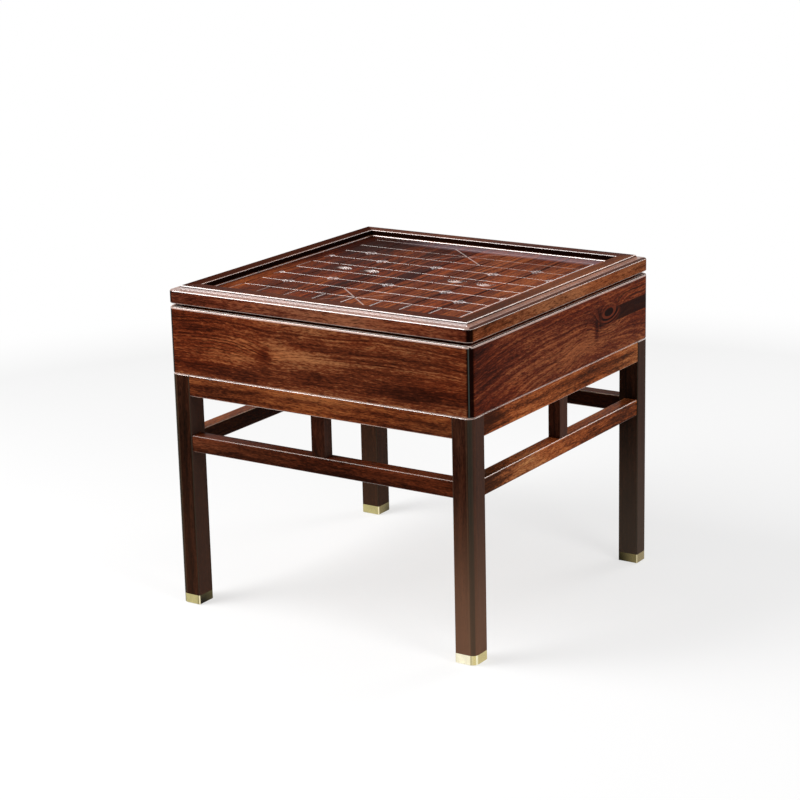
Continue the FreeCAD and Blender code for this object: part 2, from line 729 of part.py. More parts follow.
def make_box(dowels):
    ring = make_box_ring()
    splines = make_splines(
        "box_splines", "box_wall / sqrt(2)", "spline_thickness", "box_spline_reach",
        "base_height + box_spline_margin", "box_height - 2 * box_spline_margin",
    )
    screws = make_seat_screws()
    drilled = cut("box_ring_drilled", ring, fuse("box_tools", [splines, screws, dowels]))
    mitred(drilled, "box_wall", "box_wall", "base_height", "box_height")
    make_seat(screws)
    make_floor()


def make_struts():
    """A short upright in the middle of each side, tenoned into rail and stretcher."""
    struts = {}
    inset = "stretcher_inset + stretcher_thickness / 2"
    depth = "stretcher_thickness - 2 * strut_setback"
    for side, turn in SIDE_TURNS.items():
        body = new_body(f"strut_{side}")
        section = rectangle(body, f"strut_{side}_section", "XY_Plane", "strut_width", depth)
        pad(body, section, "strut_height", True)
        round_edges(body, f"strut_{side}_arrises", "arris_round", upright)
        tenon = rectangle(body, f"strut_{side}_tenon", "XY_Plane", "strut_tenon_width", "tenon_thickness")
        pad(body, tenon, "strut_height + 2 * strut_tenon_length", True)
        place(body, *side_spot(side, inset), f"{STRETCHER_TOP} + strut_height / 2", about_z(turn))
        struts[side] = node(f"strut_{side}", body)
    return struts


def make_level_bars(kind, middle, struts, dowels=None):
    """One bar on each side between the legs, cut for its strut and for dowels if there are any."""
    blanks = {}
    inset = f"({kind}_inset + {kind}_thickness / 2)"
    # A tenon stops short of the one that comes into the same leg from the next side
    reach = f"(leg_section - {inset} - tenon_thickness / 2 - tenon_gap)"
    for side, turn in SIDE_TURNS.items():
        length = f"({span_of(side)} - 2 * leg_section)"
        blank = bar(
            f"{kind}_{side}_blank", length, f"{kind}_thickness", f"{kind}_height",
            reach, f"{kind}_tenon_height",
        )
        place(blank, *side_spot(side, inset), middle, about_z(turn))
        tool = fuse(f"{kind}_{side}_tools", [struts[side], dowels]) if dowels else struts[side]
        node(f"{kind}_{side}", cut(f"{kind}_{side}", blank, tool))
        blanks[side] = blank
    return blanks


def make_foot(corner):
    """A brass cup round the leg's foot, and the glide pinned up through it."""
    cap_bottom = "glide_thickness"
    outer = corner_post(
        f"cap_{corner}_outer", corner, "0", cap_bottom, "cap_height", "corner_round", "arris_round",
    )
    core = corner_post(
        f"cap_{corner}_core", corner, "cap_wall", f"{cap_bottom} + cap_floor",
        "cap_height", "corner_round - cap_wall", "arris_round - cap_wall",
    )
    sign_x, sign_y = CORNER_SIGNS[corner]
    x = f"{sign_x} * (table_width - leg_section) / 2"
    y = f"{sign_y} * (table_depth - leg_section) / 2"
    disc = rod(f"glide_{corner}_disc", "glide_diameter", "glide_thickness")
    pin = rod(f"glide_{corner}_pin", "glide_pin_diameter", "glide_thickness + glide_pin_length")
    for piece in (disc, pin):
        place(piece, x, y)
    glide = node(f"glide_{corner}", fuse(f"glide_{corner}", [disc, pin]))
    cap_tools = fuse(f"cap_{corner}_tools", [core, glide])
    cap = node(f"foot_cap_{corner}", cut(f"foot_cap_{corner}", outer, cap_tools))
    return cap, glide


def make_leg(corner, rails, stretchers):
    """A leg with its mortises, its foot reduced to fit inside the cap."""
    blank = corner_post(
        f"leg_{corner}_blank", corner, "0", "glide_thickness", "base_height - glide_thickness",
        "corner_round", "arris_round",
    )
    round_edges(blank, f"leg_{corner}_top", f"{TOP_ROUND_SHARE} * arris_round", on_top)
    cap, glide = make_foot(corner)
    tools = [cap, glide]
    for side in CORNER_SIDES[corner]:
        tools += [rails[side], stretchers[side]]
    node(f"leg_{corner}", cut(f"leg_{corner}", blank, fuse(f"leg_{corner}_tools", tools)))


def make_leg_frame(dowels):
    struts = make_struts()
    rails = make_level_bars("rail", RAIL_MIDDLE, struts, dowels)
    stretchers = make_level_bars("stretcher", STRETCHER_MIDDLE, struts)
    for corner in CORNER_TURNS:
        make_leg(corner, rails, stretchers)


def check_model():
    """Stop if any object failed or any sub-part has no sound solid."""
    for thing in doc.Objects:
        bad = [state for state in thing.State if state in ("Invalid", "Error")]
        if bad:
            raise RuntimeError(f"{thing.Name} is {bad}")
    for name, thing in nodes.items():
        shape = thing.Shape
        if shape.isNull() or not shape.isValid() or not shape.Solids:
            raise RuntimeError(f"{name} has no valid solid")


def write_nodes():
    os.makedirs("parts", exist_ok=True)
    for name, thing in nodes.items():
        thing.Shape.exportStep(f"parts/{name}.step")
        print(f"{name}: {len(thing.Shape.Solids)} solids, {thing.Shape.Volume:.0f} mm3")


def main():
    make_sheet()
    make_lid_frame()
    make_lid_beads()
    make_board()
    make_locators()
    dowels = make_dowels()
    make_box(dowels)
    make_leg_frame(dowels)
    doc.recompute()
    check_model()
    write_nodes()


main()
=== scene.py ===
import math

import bpy
from mathutils import Color, Matrix, Vector


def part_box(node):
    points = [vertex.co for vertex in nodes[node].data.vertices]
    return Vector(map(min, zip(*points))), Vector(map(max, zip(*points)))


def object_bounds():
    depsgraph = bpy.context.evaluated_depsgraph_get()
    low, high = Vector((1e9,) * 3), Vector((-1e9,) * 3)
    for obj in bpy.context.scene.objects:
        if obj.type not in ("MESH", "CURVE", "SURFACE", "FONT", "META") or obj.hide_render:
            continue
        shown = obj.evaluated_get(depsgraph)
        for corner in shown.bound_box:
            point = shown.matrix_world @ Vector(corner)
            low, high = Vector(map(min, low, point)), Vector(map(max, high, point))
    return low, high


bl_info = {
    "name": "Chess table looks",
    "version": (1, 0, 0),
    "blender": (4, 5, 0),
    "location": "3D View > Sidebar > Chess table",
    "description": "Rosewood, brass and studio for a chess table with a lift-off lid",
    "category": "Object",
}

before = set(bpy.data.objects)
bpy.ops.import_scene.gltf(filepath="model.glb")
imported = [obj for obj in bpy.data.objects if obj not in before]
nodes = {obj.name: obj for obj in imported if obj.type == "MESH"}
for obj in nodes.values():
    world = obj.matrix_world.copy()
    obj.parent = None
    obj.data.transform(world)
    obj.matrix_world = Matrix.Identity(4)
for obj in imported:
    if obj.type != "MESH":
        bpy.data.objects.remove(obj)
cad_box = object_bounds()

SIDES = ("front", "right", "back", "left")
CORNERS = ("front_left", "front_right", "back_right", "back_left")
ALONG_X = ("front", "back")
ALONG_Y = ("left", "right")
AXES = ("X", "Y", "Z")

# The table's front face, the rails that stand a little behind it, and the board, in metres
FRONT = cad_box[0][1]
RAIL_INSET = 0.02
RAIL_FRONT = FRONT + RAIL_INSET
BOARD_LEVEL = 0.55

# The board's grid, and where its files lose their shine and get painted shade and where its river lies, each
# as the start and end of a soft edge
FILE_GAP = 0.0575
RANK_GAP = 0.051
MARK_EDGE = (0.012, 0.0144)
SOLDIER_RANK = 1.5 * RANK_GAP
CANNON_RANK = 2.5 * RANK_GAP
CANNON_FILE = 3 * FILE_GAP
DULL_FRONT_EDGE = (-0.19, -0.175)
DULL_RIGHT_EDGE = (0.215, 0.225)
DULL_RIVER_EDGE = (0.019, 0.024)
RIVER_EDGE = (0.019, 0.021)
WAVES_EDGE = (0.2, 0.21)

# The camera that the photograph was taken with, found from the table's edges in it
CAMERA_PLACE = (2.0731, -3.1722, 1.3951)
CAMERA_AZIMUTH = math.radians(33.576)
CAMERA_ELEVATION = math.radians(15.647)
CAMERA_ROLL = math.radians(1.362)
CAMERA_LENS = 101.25
CAMERA_SENSOR = 36

# Each softbox: where it stands, what it looks at, which way is up, its width and height, and its power
SOFTBOXES = {
    "key_softbox": ((-1.386, -1.43, 2.22), (0, 0, 0.55), (0, 0.757, 0.654), (1.3, 2.4), "key_power"),
    "rim_softbox": ((0.9, 2.08, 1.78), (0, 0, 0.55), (-0.65, 0, 0.757), (1.2, 1.1), "rim_power"),
    "side_softbox": ((2.3, -0.7, 1.9), (0, 0, 0.4), (0, 0, 1), (0.9, 0.9), "side_power"),
}

# Each wood's label, the pieces that it is for, and its dark, middle and light tones
WOODS = {
    "lid": ("Lid", "the lid's frame and its front and back beads", ("32150d", "55281a", "7e4c34")),
    "side": ("Lid sides", "the lid frame's right rail and side beads", ("40200f", "744027", "9b6240")),
    "board": ("Board", "the board", ("39150a", "652e18", "8b4925")),
    "box": ("Box", "the box's front and back walls", ("38160b", "602c17", "8e5a38")),
    "flank": ("Box sides", "the box's right and left walls", ("3a150b", "642a18", "985634")),
    "frame": ("Rails", "the rails and stretchers with no tones of their own", ("36170b", "60311a", "83502d")),
    "golden": ("Right rails", "the right rail and stretcher", ("542b15", "995731", "c28250")),
    "stretcher": ("Front stretcher", "the front stretcher", ("2c1208", "4c2413", "653520")),
    "strut": ("Struts", "the centre struts", ("1e0e08", "33190f", "45271a")),
    "leg": ("Legs", "the dark legs", ("110804", "26130a", "3d2215")),
    "near": ("Front right leg", "the lighter front right leg", ("1b0b06", "2e170e", "432619")),
    "plain": ("Plain wood", "the hidden timber", ("8a6136", "b08a5a", "c9a878")),
}
TONE_PARTS = ("dark", "middle", "light")

# Turns that lay a piece's grain along the X axis of its pattern
GRAIN_TURNS = {
    "X": (0, 0, 0),
    "Y": (0, 0, -math.pi / 2),
    "Z": (0, math.pi / 2, 0),
}

# Where each finish is cut from the endless pattern, so that no two match
GRAIN_STARTS = {
    "bead_wood_X": (0.4, 0.4, 0.4),
    "bead_wood_Y": (2.3, 2.3, 2.3),
    "lid_wood_X": (0.4, 0.4, 0.4),
    "lid_wood_right": (2.3, 2.3, 2.3),
    "lid_wood_left": (3.1, 3.1, 3.1),
    "board_wood": (1.1, 0.3, 0.2),
    "box_wood_X": (0.9, 0.9, 0.9),
    "box_wood_Y": (3.7, 3.7, 3.7),
    "frame_wood_X": (1.7, 1.7, 1.7),
    "frame_wood_Y": (5.1, 5.1, 5.1),
    "golden_frame_wood": (2.6, 0.4, 0.7),
    "stretcher_wood": (6.1, 2.2, 1.3),
    "strut_wood": (0.5, 1.2, 2.3),
    "leg_wood_front_left": (0.2, 0.2, 0.2),
    "leg_wood_front_right": (0.6, 0.6, 0.6),
    "leg_wood_back_right": (0.9, 0.9, 0.9),
    "leg_wood_back_left": (1.4, 1.4, 1.4),
    "plain_wood_X": (4.0, 0.1, 0.3),
    "plain_wood_Y": (7.0, 0.2, 0.1),
}

# Each noise of the grain: how fine it is along the fibres and across them, in waves per metre, its detail
# and its roughness
WANDER_NOISE = ((4, 11, 11), 4, 0.5)
WARMTH_NOISE = ((3, 14, 14), 2, 0.5)
STREAK_NOISE = ((22, 170, 170), 5, 0.7)
FLECK_NOISE = ((65, 560, 560), 3, 0.65)
FIBRE_NOISE = ((40, 1100, 1100), 3, 0.7)
PORE_NOISE = ((130, 640, 640), 1, 0.5)
CLOUD_DETAIL = (3, 0.5)
RING_DETAIL = (5, 0.7)
FINE_RING_DETAIL = (2, 0.6)
FINE_RINGS_SHARE = 3.2

# How much the noises weigh in the share of light wood, besides those that each timber weighs for itself
RING_SHARE = 0.2
PORE_SHARE = 0.2
STREAK_SHARE = 0.26
FIBRE_SHARE = 0.1

# Where a noise or wave starts to show and where it shows fully. Every noise has its middle at a half
MIDDLE_SHARE = 0.5
STREAK_SHARES = (0.3, 0.7)
WARM_SHARES = (0.4, 0.62)
FLECK_SHARES = (0.52, 0.64)
PIT_SHARES = (0.52, 0.62)
ARCH_SHARES = (0.1, 0.9)
ARCH_BREAK_SHARES = (0.44, 0.7)
ARCH_LEAST_SHARE = 0.25
KNOT_RING_SHARES = (-0.4, 0.2)
KNOT_CORE_SHARE = 0.6
HATCH_SHARES = (-0.6, 0.8)
HATCH_DEPTH_SHARES = (0.8, 1.0)
HATCH_SLANT = (570, 570, 900)

# How much a surface faces an axis where a look starts and where it is full
TILTED_SHARES = (0.15, 0.65)
NEARLY_LEVEL_SHARES = (0.9, 0.99)
LEVEL_SHARES = (0.97, 0.995)
UPRIGHT_SHARES = (0.1, 0.3)
ROUNDED_SHARES = (0.12, 0.4)
FLAT_GROUND_SHARES = (0.95, 0.98)
SIDEWAYS_SHARES = (0.5, 0.95)
CROSSWISE_SHARES = (0.5, 0.65)
WAVE_FRONT_SHARES = (0.3, 0.5)
WAVE_END_SHARES = (0.5, 0.62)
CAP_SIDE_SHARES = (0.25, 0.6)
STRIP_SOFT_SHARE = 0.07

# The wood's tones: where they lie in the blend, and how much darker or lighter than its own tones others are
TONE_STEP_SHARE = 0.075
TONE_STEPS = (-2, -1, 0, 1, 2.2)
DEEP_SHARE = 0.4
PALE_SHARE = 1.35
# the near black of painted shade
BLACK_SHARE = 0.12
BAND_TONE_SHARES = (0.1, 0.5)
KNOT_TONE_SHARE = 1.3
KNOT_RING_TONE_SHARE = 0.15
# how dark the painted shade in the board's files is
FILE_SHADE_TONE_SHARE = 0.6
# how dark the painted shadow towards the waves' ends is
WAVE_SHADOW_TONE_SHARE = 0.2

# How much of each layer shows on the wood
FLECK_SHARE = 0.6
KNOT_SHARE = 0.8
KNOT_RING_SHARE = 0.97
# how much painted shade shows on the wall round the board opening
PAINTED_RECESS_SHADE_SHARE = 0.97
MARK_HIGHLIGHT_SHARE = 0.14
MARK_SPARED_SHARE = 0.45
FILE_SHADE_SHARE = 0.5
WAVE_HIGHLIGHT_SHARE = 0.5
WAVE_SHADOW_SHARE = 0.6

# How the surfaces shine and how uneven they are
# how much pale colour the arrises get, part wear and part painted highlight
WEAR_AND_SHEEN_SHARES = (0.6, 1.4)
WOOD_ROUGHNESS_SHARES = (-0.04, 0.1)
COAT_ROUGHNESS_SHARE = 0.12
FIBRE_HEIGHT_SHARE = 0.4
BUMP_SHARE = 0.1
BRUSHED_ROUGHNESS_SHARES = (-0.06, 0.08)
BRUSH_NOISE = ((260, 260, 2600), 3)
LACQUER_NOISE = (90, 2)
LACQUER_SHARES = (0.35, 0.65)
LACQUER_DEPTH_SHARE = 0.35
LACQUER_TONE_SHARE = 0.7
# how much of the painted side tone shows on a foot cap
CAP_SIDE_SHARE = 0.95
PLASTIC_NOISE = (1800, 2)
PLASTIC_TONE_SHARE = 1.5
PLASTIC_CLOUD_SHARE = 0.4
PLASTIC_BUMP_SHARE = 0.15
NYLON_ROUGHNESS_SHARE = 0.5
STEEL_ROUGHNESS_SHARE = 0.35
SAWN_ROUGHNESS_SHARE = 0.55
SHADOW_END_SHARE = 2

# Soft edges and depths in metres: mouldings, the wall round the board, faces that look in under the box
LINE_SOFT = 0.0003
WALL_SOFT = 0.0006
INWARD_EDGE = (-0.12, -0.06)
PATCH_DEPTH = 0.1
ANY_HEIGHT = 1
BUMP_DEPTH = 0.0003
METAL_BUMP_DEPTH = 0.0002
# the height at which the painted light towards a leg's foot ends
PAINTED_FOOT_LIGHT_TOP = 0.33
# the width of the painted highlight along a foot cap's sharp edge
CAP_EDGE = (0.0012, 0.002)
BOX_DRIFT = 0.025

# Tones that several finishes share
WARM_TINT = (1, 0.8, 0.68, 1)
# pale colour of the arrises, part wear and part painted highlight
WEAR_AND_SHEEN_CODE = "ffdccb"
# painted reflection on the board
PAINTED_REFLECTION_CODE = "a08e98"
# painted light on sides that face along X
LIT_SIDE_CODE = "7a5c50"
# painted shadow on the foot caps
CAP_SHADOW_CODE = "0c0804"
# painted highlight on the foot caps' sharp edges
CAP_HIGHLIGHT_CODE = "fff2c8"
# painted highlight on the cuts round the board's corner marks
MARK_HIGHLIGHT_TINT = (0.78, 0.72, 0.78)
# painted highlight on the slopes of the river's waves
WAVE_HIGHLIGHT_TINT = (1, 0.93, 0.9)
WHITE = (1, 1, 1, 1)

# Painted highlights, reflections and shade along the lid's ledge and the box's rim. Each row says how far
# under the piece's top the line starts and ends, how far in from the table's side it may lie, its tone, how
# much of it shows, and how it shines
LEDGE_PAINTED_LIGHT = (
    (0.0066, 0.0058, 0.0145, "a8705f", 0.3, 0.72),
    (0.0054, 0.0028, 0.0175, "a88278", 0.3, 0.26),
    (0.0027, 0.0017, 0.0185, "2a120c", 0.95, 0.03),
)
RIGHT_LEDGE_PAINTED_LIGHT = (
    (0.0066, 0.0058, 0.0145, "a06a5c", 0.3, 0.55),
    (0.0066, 0.0058, 0.0085, "2c100a", 0.8, 0.03),
    (0.0054, 0.0028, 0.0175, "d89c80", 0.26, 0.3),
    (0.0027, 0.0017, 0.0185, "2a120c", 0.95, 0.03),
)
LOWER_RIM_PAINTED_LIGHT = (
    (0.0008, 0.0001, 0.0024, "1c0b06", 0.95, 0.03),
    (0.0036, 0.0018, 0.0024, "f0d4c8", 0.4, 0.3),
)
BRIGHT_RIM_PAINTED_LIGHT = ((0.0002, -0.0003, 0.0045, "fff0e4", 0.9, 0.0), *LOWER_RIM_PAINTED_LIGHT)
PLAIN_RIM_PAINTED_LIGHT = ((0.0002, -0.0003, 0.0045, "e0c4b6", 0.6, 0.0), *LOWER_RIM_PAINTED_LIGHT)

# Painted reflections and highlights down a rounded corner: from and to how much it faces along X there, tone,
# and how much of it shows
BOX_CORNER_REFLECTIONS = ((0.5, 0.56, "434c48", 0.7),)
LEG_CORNER_REFLECTIONS = ((0.08, 0.16, "8b7459", 0.08), (0.3, 0.78, "3a3a31", 0.5))
CAP_CORNER_REFLECTIONS = ((0.2, 0.42, "a89a62", 0.7), (0.88, 0.93, "fffbdc", 0.8))

# Features of the grain on upright faces, where the photo shows them. Each row says how far along the piece it
# lies, how high, and how far it reaches along and up. After that, patches have the share by which they are
# lighter, or darker below zero; eyes the height of the hump that bends the rings; arches the spacing of their
# lines and how much shows; and bands their soft edge and how much shows
LID_FRONT_PATCHES = ((-0.26, 0.55, 0.12, 0.1, -0.09), (0.24, 0.55, 0.1, 0.1, -0.04))
LID_RIGHT_PATCHES = ((-0.28, 0.566, 0.14, 0.004, -0.12),)
FRONT_PITH = (-0.1, -0.3, 0.2)
FRONT_EYES = (
    (-0.2, 0.47, 0.1, 0.05, -0.016), (-0.09, 0.475, 0.04, 0.03, 0.012), (0.16, 0.5, 0.12, 0.04, -0.006),
)
FRONT_ARCHES = ((-0.19, 0.475, 0.09, 0.026, 0.006, 0.85), (0.12, 0.49, 0.12, 0.03, 0.008, 0.3))
FRONT_PATCHES = (
    (-0.18, 0.461, 0.075, 0.015, 0.1), (-0.15, 0.49, 0.09, 0.012, 0.04), (-0.24, 0.515, 0.1, 0.012, -0.04),
    (-0.02, 0.508, 0.08, 0.012, -0.04), (-0.07, 0.483, 0.035, 0.015, 0.07), (0.0, 0.475, 0.07, 0.015, 0.08),
    (0.02, 0.437, 0.1, 0.012, -0.035), (-0.1, 0.472, 0.014, 0.014, -0.12), (-0.16, 0.432, 0.13, 0.012, -0.08),
    (-0.29, 0.44, 0.06, 0.012, -0.07), (0.21, 0.438, 0.1, 0.01, -0.12), (0.2, 0.475, 0.12, 0.03, -0.05),
)
RIGHT_PITH = (0.05, -0.28, 0.4)
RIGHT_EYES = ((0.15, 0.487, 0.045, 0.02, 0.042), (0.06, 0.45, 0.05, 0.025, -0.012))
RIGHT_ARCHES = (
    (0.125, 0.48, 0.05, 0.03, 0.0085, 0.85), (0.24, 0.512, 0.08, 0.014, 0.0085, 0.95),
    (-0.02, 0.45, 0.09, 0.03, 0.011, 0.35),
)
RIGHT_PATCHES = (
    (0.03, 0.455, 0.1, 0.03, 0.09), (-0.26, 0.45, 0.07, 0.05, -0.07), (0.0, 0.5, 0.25, 0.02, 0.03),
    (0.108, 0.475, 0.007, 0.016, -0.14), (-0.29, 0.523, 0.05, 0.012, -0.12), (0.2, 0.515, 0.1, 0.01, 0.03),
)
RIGHT_BANDS = ((0.212, 0.4845, 0.092, 0.0115, (0.004, 0.1, 0.0018), 0.94),)
RAIL_PATCHES = ((0.0, 0.397, 0.1, 0.03, 0.04), (-0.22, 0.397, 0.1, 0.03, -0.04))
RIGHT_RAIL_PATCHES = (
    (-0.26, 0.28, 0.09, 0.05, -0.16), (0.26, 0.28, 0.09, 0.05, -0.05), (-0.27, 0.4, 0.08, 0.03, -0.1),
)
STRETCHER_PATCHES = ((0.02, 0.28, 0.12, 0.05, -0.08),)

# The knot: where it lies, how high it reaches, the spacing of its rings, and how far it is drawn out
RIGHT_KNOTS = (((0.155, FRONT, 0.487), 0.018, 0.0125, 2.3),)

# The same for the level board: along and across the grain, both reaches, and then as above
BOARD_PITH = (0, 0.2, 0.2)
BOARD_CLOUDS = (5, 20, 20)
BOARD_PATCHES = (
    (0.22, 0.27, 0.25, 0.13, -0.1), (0.22, 0.2, 0.13, 0.16, -0.07), (-0.17, 0.14, 0.08, 0.12, -0.06),
    (0.0, 0.0, 0.1, 0.09, -0.04), (-0.12, -0.2, 0.12, 0.08, -0.035), (0.0, -0.19, 0.2, 0.07, 0.05),
)
# Painted reflection on the board near its back edge
BOARD_PAINTED_REFLECTIONS = ((0.237, -0.1, 0.008, 0.15, (0.018, 0.15, 1), 0.34),)

# Each leg's wood, the share of painted light on its sides, and the tone and share of the painted light
# towards its foot
LEG_LOOKS = {
    "front_left": ("leg", 0.2, "4a382c", 0.15),
    "front_right": ("near", 0.2, "8a6650", 0.5),
    "back_right": ("leg", 0.2, "62554a", 0.5),
    "back_left": ("leg", 0.1, "5a4436", 0.3),
}

# Each foot cap's tones in front and at its side, painted light and shade, its painted shadows (where from its
# corner, how far, how strong), the share of painted highlight on its sharp edge, and the painted reflections
# on its rounded corner
CAP_LOOKS = {
    "front_left": ("brass_colour", "shaded_brass", (((0, 0.008, 0), (0.004, 0.025, 0.02), 0.95),), 0.9, ()),
    "front_right": ("bright_brass", "bright_side", (), 0.0, CAP_CORNER_REFLECTIONS),
    "back_right": ("dull_brass", "dull_side", (((-0.038, 0, 0), (0.028, 0.05, 0.05), 0.93),), 0.5, ()),
    "back_left": ("brass_colour", "dull_brass", (((0, 0.038, 0), (0.01, 0.02, 0.02), 0.7),), 0.9, ()),
}


def tone(code):
    """A colour written as six hex digits, in the linear values that shaders use."""
    shares = [int(code[place:place + 2], 16) / 255 for place in (0, 2, 4)]
    return tuple(Color(shares).from_srgb_to_scene_linear())


def scaled(values, part):
    """Every value times a part, such as a tone made darker, or lighter where the part is over 1."""
    return [value * part for value in values]


def opaque(shade):
    return (*shade, 1)


def colour(name, description, code):
    return bpy.props.FloatVectorProperty(
        name=name, description=description, subtype="COLOR", size=3, min=0, max=1, default=tone(code),
    )


def share(name, description, default):
    return bpy.props.FloatProperty(
        name=name, description=description, subtype="FACTOR", min=0, max=1, default=default,
    )


def distance(name, description, default):
    return bpy.props.FloatProperty(
        name=name, description=description, unit="LENGTH", min=0, default=default,
    )


def number(name, description, default):
    return bpy.props.FloatProperty(name=name, description=description, min=0, default=default)


def named(kind, places):
    """The names of one kind of piece at several sides or corners."""
    return [f"{kind}_{place}" for place in places]


def on_face(rows, depth=FRONT):
    """Features of an upright face, as places and reaches in the grain."""
    return [
        ((along, depth, height), (reach, PATCH_DEPTH, rise), *rest)
        for along, height, reach, rise, *rest in rows
    ]


def on_board(rows):
    """Features of the board, as places and reaches in the grain."""
    return [
        ((along, across, BOARD_LEVEL), (reach, width, ANY_HEIGHT), *rest)
        for along, across, reach, width, *rest in rows
    ]


def lines_along(piece, rows):
    """The painted lines of a moulding at their real heights and distances from the table's middle."""
    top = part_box(piece)[1][2]
    return [(top - start, top - end, -FRONT - inset, *rest) for start, end, inset, *rest in rows]


class Shader:
    """The node tree of a material or of the world, filled one node at a time."""

    def __init__(self, owner):
        self.owner = owner
        owner.use_nodes = True
        self.tree = owner.node_tree
        self.tree.nodes.clear()

    def feed(self, socket, value):
        if isinstance(value, bpy.types.NodeSocket):
            self.tree.links.new(value, socket)
        else:
            socket.default_value = value

    def add(self, kind, feeds, **settings):
        """Add a node, set it up and feed its sockets with values or other nodes' outputs."""
        made = self.tree.nodes.new(kind)
        for setting, value in settings.items():
            setattr(made, setting, value)
        for socket, value in feeds.items():
            self.feed(made.inputs[socket], value)
        return made

    def math(self, operation, *values):
        return self.add("ShaderNodeMath", dict(enumerate(values)), operation=operation).outputs[0]

    def product(self, first, *others):
        for other in others:
            first = self.math("MULTIPLY", first, other)
        return first

    def vector(self, operation, *values, out=0):
        return self.add("ShaderNodeVectorMath", dict(enumerate(values)), operation=operation).outputs[out]

    def length(self, vector):
        return self.vector("LENGTH", vector, out="Value")

    def parts(self, vector):
        return self.add("ShaderNodeSeparateXYZ", {"Vector": vector}).outputs

    def place(self):
        return self.add("ShaderNodeTexCoord", {}).outputs["Object"]

    def normal(self):
        return self.add("ShaderNodeTexCoord", {}).outputs["Normal"]

    def noise(self, place, scale, detail, roughness=0.5, out="Fac"):
        feeds = {"Vector": place, "Scale": scale, "Detail": detail, "Roughness": roughness}
        return self.add("ShaderNodeTexNoise", feeds, noise_dimensions="3D").outputs[out]

    def streaks(self, place, waves, detail, roughness=0.5, out="Fac"):
        """Noise drawn out along the grain."""
        return self.noise(self.vector("MULTIPLY", place, waves), 1.0, detail, roughness, out)

    def line_noise(self, place, scale, detail, roughness):
        feeds = {"W": place, "Scale": scale, "Detail": detail, "Roughness": roughness}
        return self.add("ShaderNodeTexNoise", feeds, noise_dimensions="1D").outputs["Fac"]

    def spread(self, value, low, high, to_low=0.0, to_high=1.0):
        """Stretch a value's range to another, held at its ends."""
        feeds = {"Value": value, "From Min": low, "From Max": high, "To Min": to_low, "To Max": to_high}
        return self.add("ShaderNodeMapRange", feeds, interpolation_type="SMOOTHSTEP").outputs["Result"]

    def fade(self, value, low, high, amount=1.0):
        """A share that falls to nothing between two values."""
        return self.spread(value, low, high, amount, 0.0)

    def mix(self, amount, first, second, blend="MIX"):
        node = self.add("ShaderNodeMix", {}, data_type="RGBA", blend_type=blend)
        sockets = [socket for socket in node.inputs if socket.type == "RGBA"]
        for socket, value in zip([node.inputs[0]] + sockets, (amount, first, second)):
            self.feed(socket, value)
        return next(socket for socket in node.outputs if socket.type == "RGBA")

    def ramp(self, value, stops):
        node = self.add("ShaderNodeValToRGB", {"Fac": value})
        elements = node.color_ramp.elements
        while len(elements) < len(stops):
            elements.new(MIDDLE_SHARE)
        for element, (place, shade) in zip(elements, stops):
            element.position = place
            element.color = opaque(shade)
        return node.outputs["Color"]

    def bump(self, height, strength, depth):
        feeds = {"Height": height, "Strength": strength, "Distance": depth}
        return self.add("ShaderNodeBump", feeds).outputs["Normal"]

    def finish(self, surface, output="ShaderNodeOutputMaterial"):
        self.add(output, {"Surface": surface})
        return self.owner


def new_finish(name):
    return Shader(bpy.data.materials.new(name))


def blended(shader, base, amount, shade):
    """The base with another tone laid over it."""
    return shader.mix(amount, base, opaque(shade))


def bell(shader, place, centre, reach):
    """A share that is 1 at a point of the grain and fades over its reach each way."""
    away = shader.vector("DIVIDE", shader.vector("SUBTRACT", place, centre), reach)
    squared = shader.vector("DOT_PRODUCT", away, away, out="Value")
    return shader.math("EXPONENT", shader.math("MULTIPLY", squared, -1.0))


def band(shader, place, centre, half_size, soft):
    """A share that is 1 inside a box of the grain and fades over a soft edge."""
    away = shader.vector("ABSOLUTE", shader.vector("SUBTRACT", place, centre))
    past = shader.parts(shader.vector("DIVIDE", shader.vector("SUBTRACT", away, half_size), soft))
    return shader.product(*(shader.fade(past[axis], 0.0, 1.0) for axis in AXES))


def steepness(shader):
    """How much the surface faces each axis, as shares."""
    return shader.parts(shader.vector("ABSOLUTE", shader.normal()))


def distances(shader, place):
    """How far a point lies from the table's middle along each axis."""
    return shader.parts(shader.vector("ABSOLUTE", place))


def burnished(shader, facing):
    """1 where a surface turns between level and upright, less on a steep slope, 0 where it is either."""
    tilted = shader.spread(facing["Z"], *TILTED_SHARES)
    return shader.product(tilted, shader.fade(facing["Z"], *NEARLY_LEVEL_SHARES))


def upright_round(shader, facing):
    """1 on the rounded upright corners, 0 elsewhere."""
    return shader.spread(shader.product(facing["X"], facing["Y"]), *ROUNDED_SHARES)


def corner_strip(shader, facing, low, high):
    """1 on a narrow strip of a rounded upright corner, between two shares of turn towards the X axis."""
    starts = shader.spread(facing["X"], low - STRIP_SOFT_SHARE, low)
    ends = shader.fade(facing["X"], high, high + STRIP_SOFT_SHARE)
    return shader.product(starts, ends, shader.fade(facing["Z"], *UPRIGHT_SHARES))


def painted_corner_reflections(shader, base, facing, lines):
    """The base with painted reflections and highlights down its rounded corners."""
    for low, high, code, amount in lines:
        strip = shader.product(corner_strip(shader, facing, low, high), amount)
        base = blended(shader, base, strip, tone(code))
    return base


def inner_wall(shader, place, facing, half_opening):
    """A share on the frame's walls round the board opening, where shade is painted on."""
    away = distances(shader, place)
    outermost = shader.math("MAXIMUM", away["X"], away["Y"])
    inside = shader.fade(outermost, half_opening, half_opening + WALL_SOFT)
    return shader.product(inside, shader.fade(facing["Z"], *UPRIGHT_SHARES, PAINTED_RECESS_SHADE_SHARE))


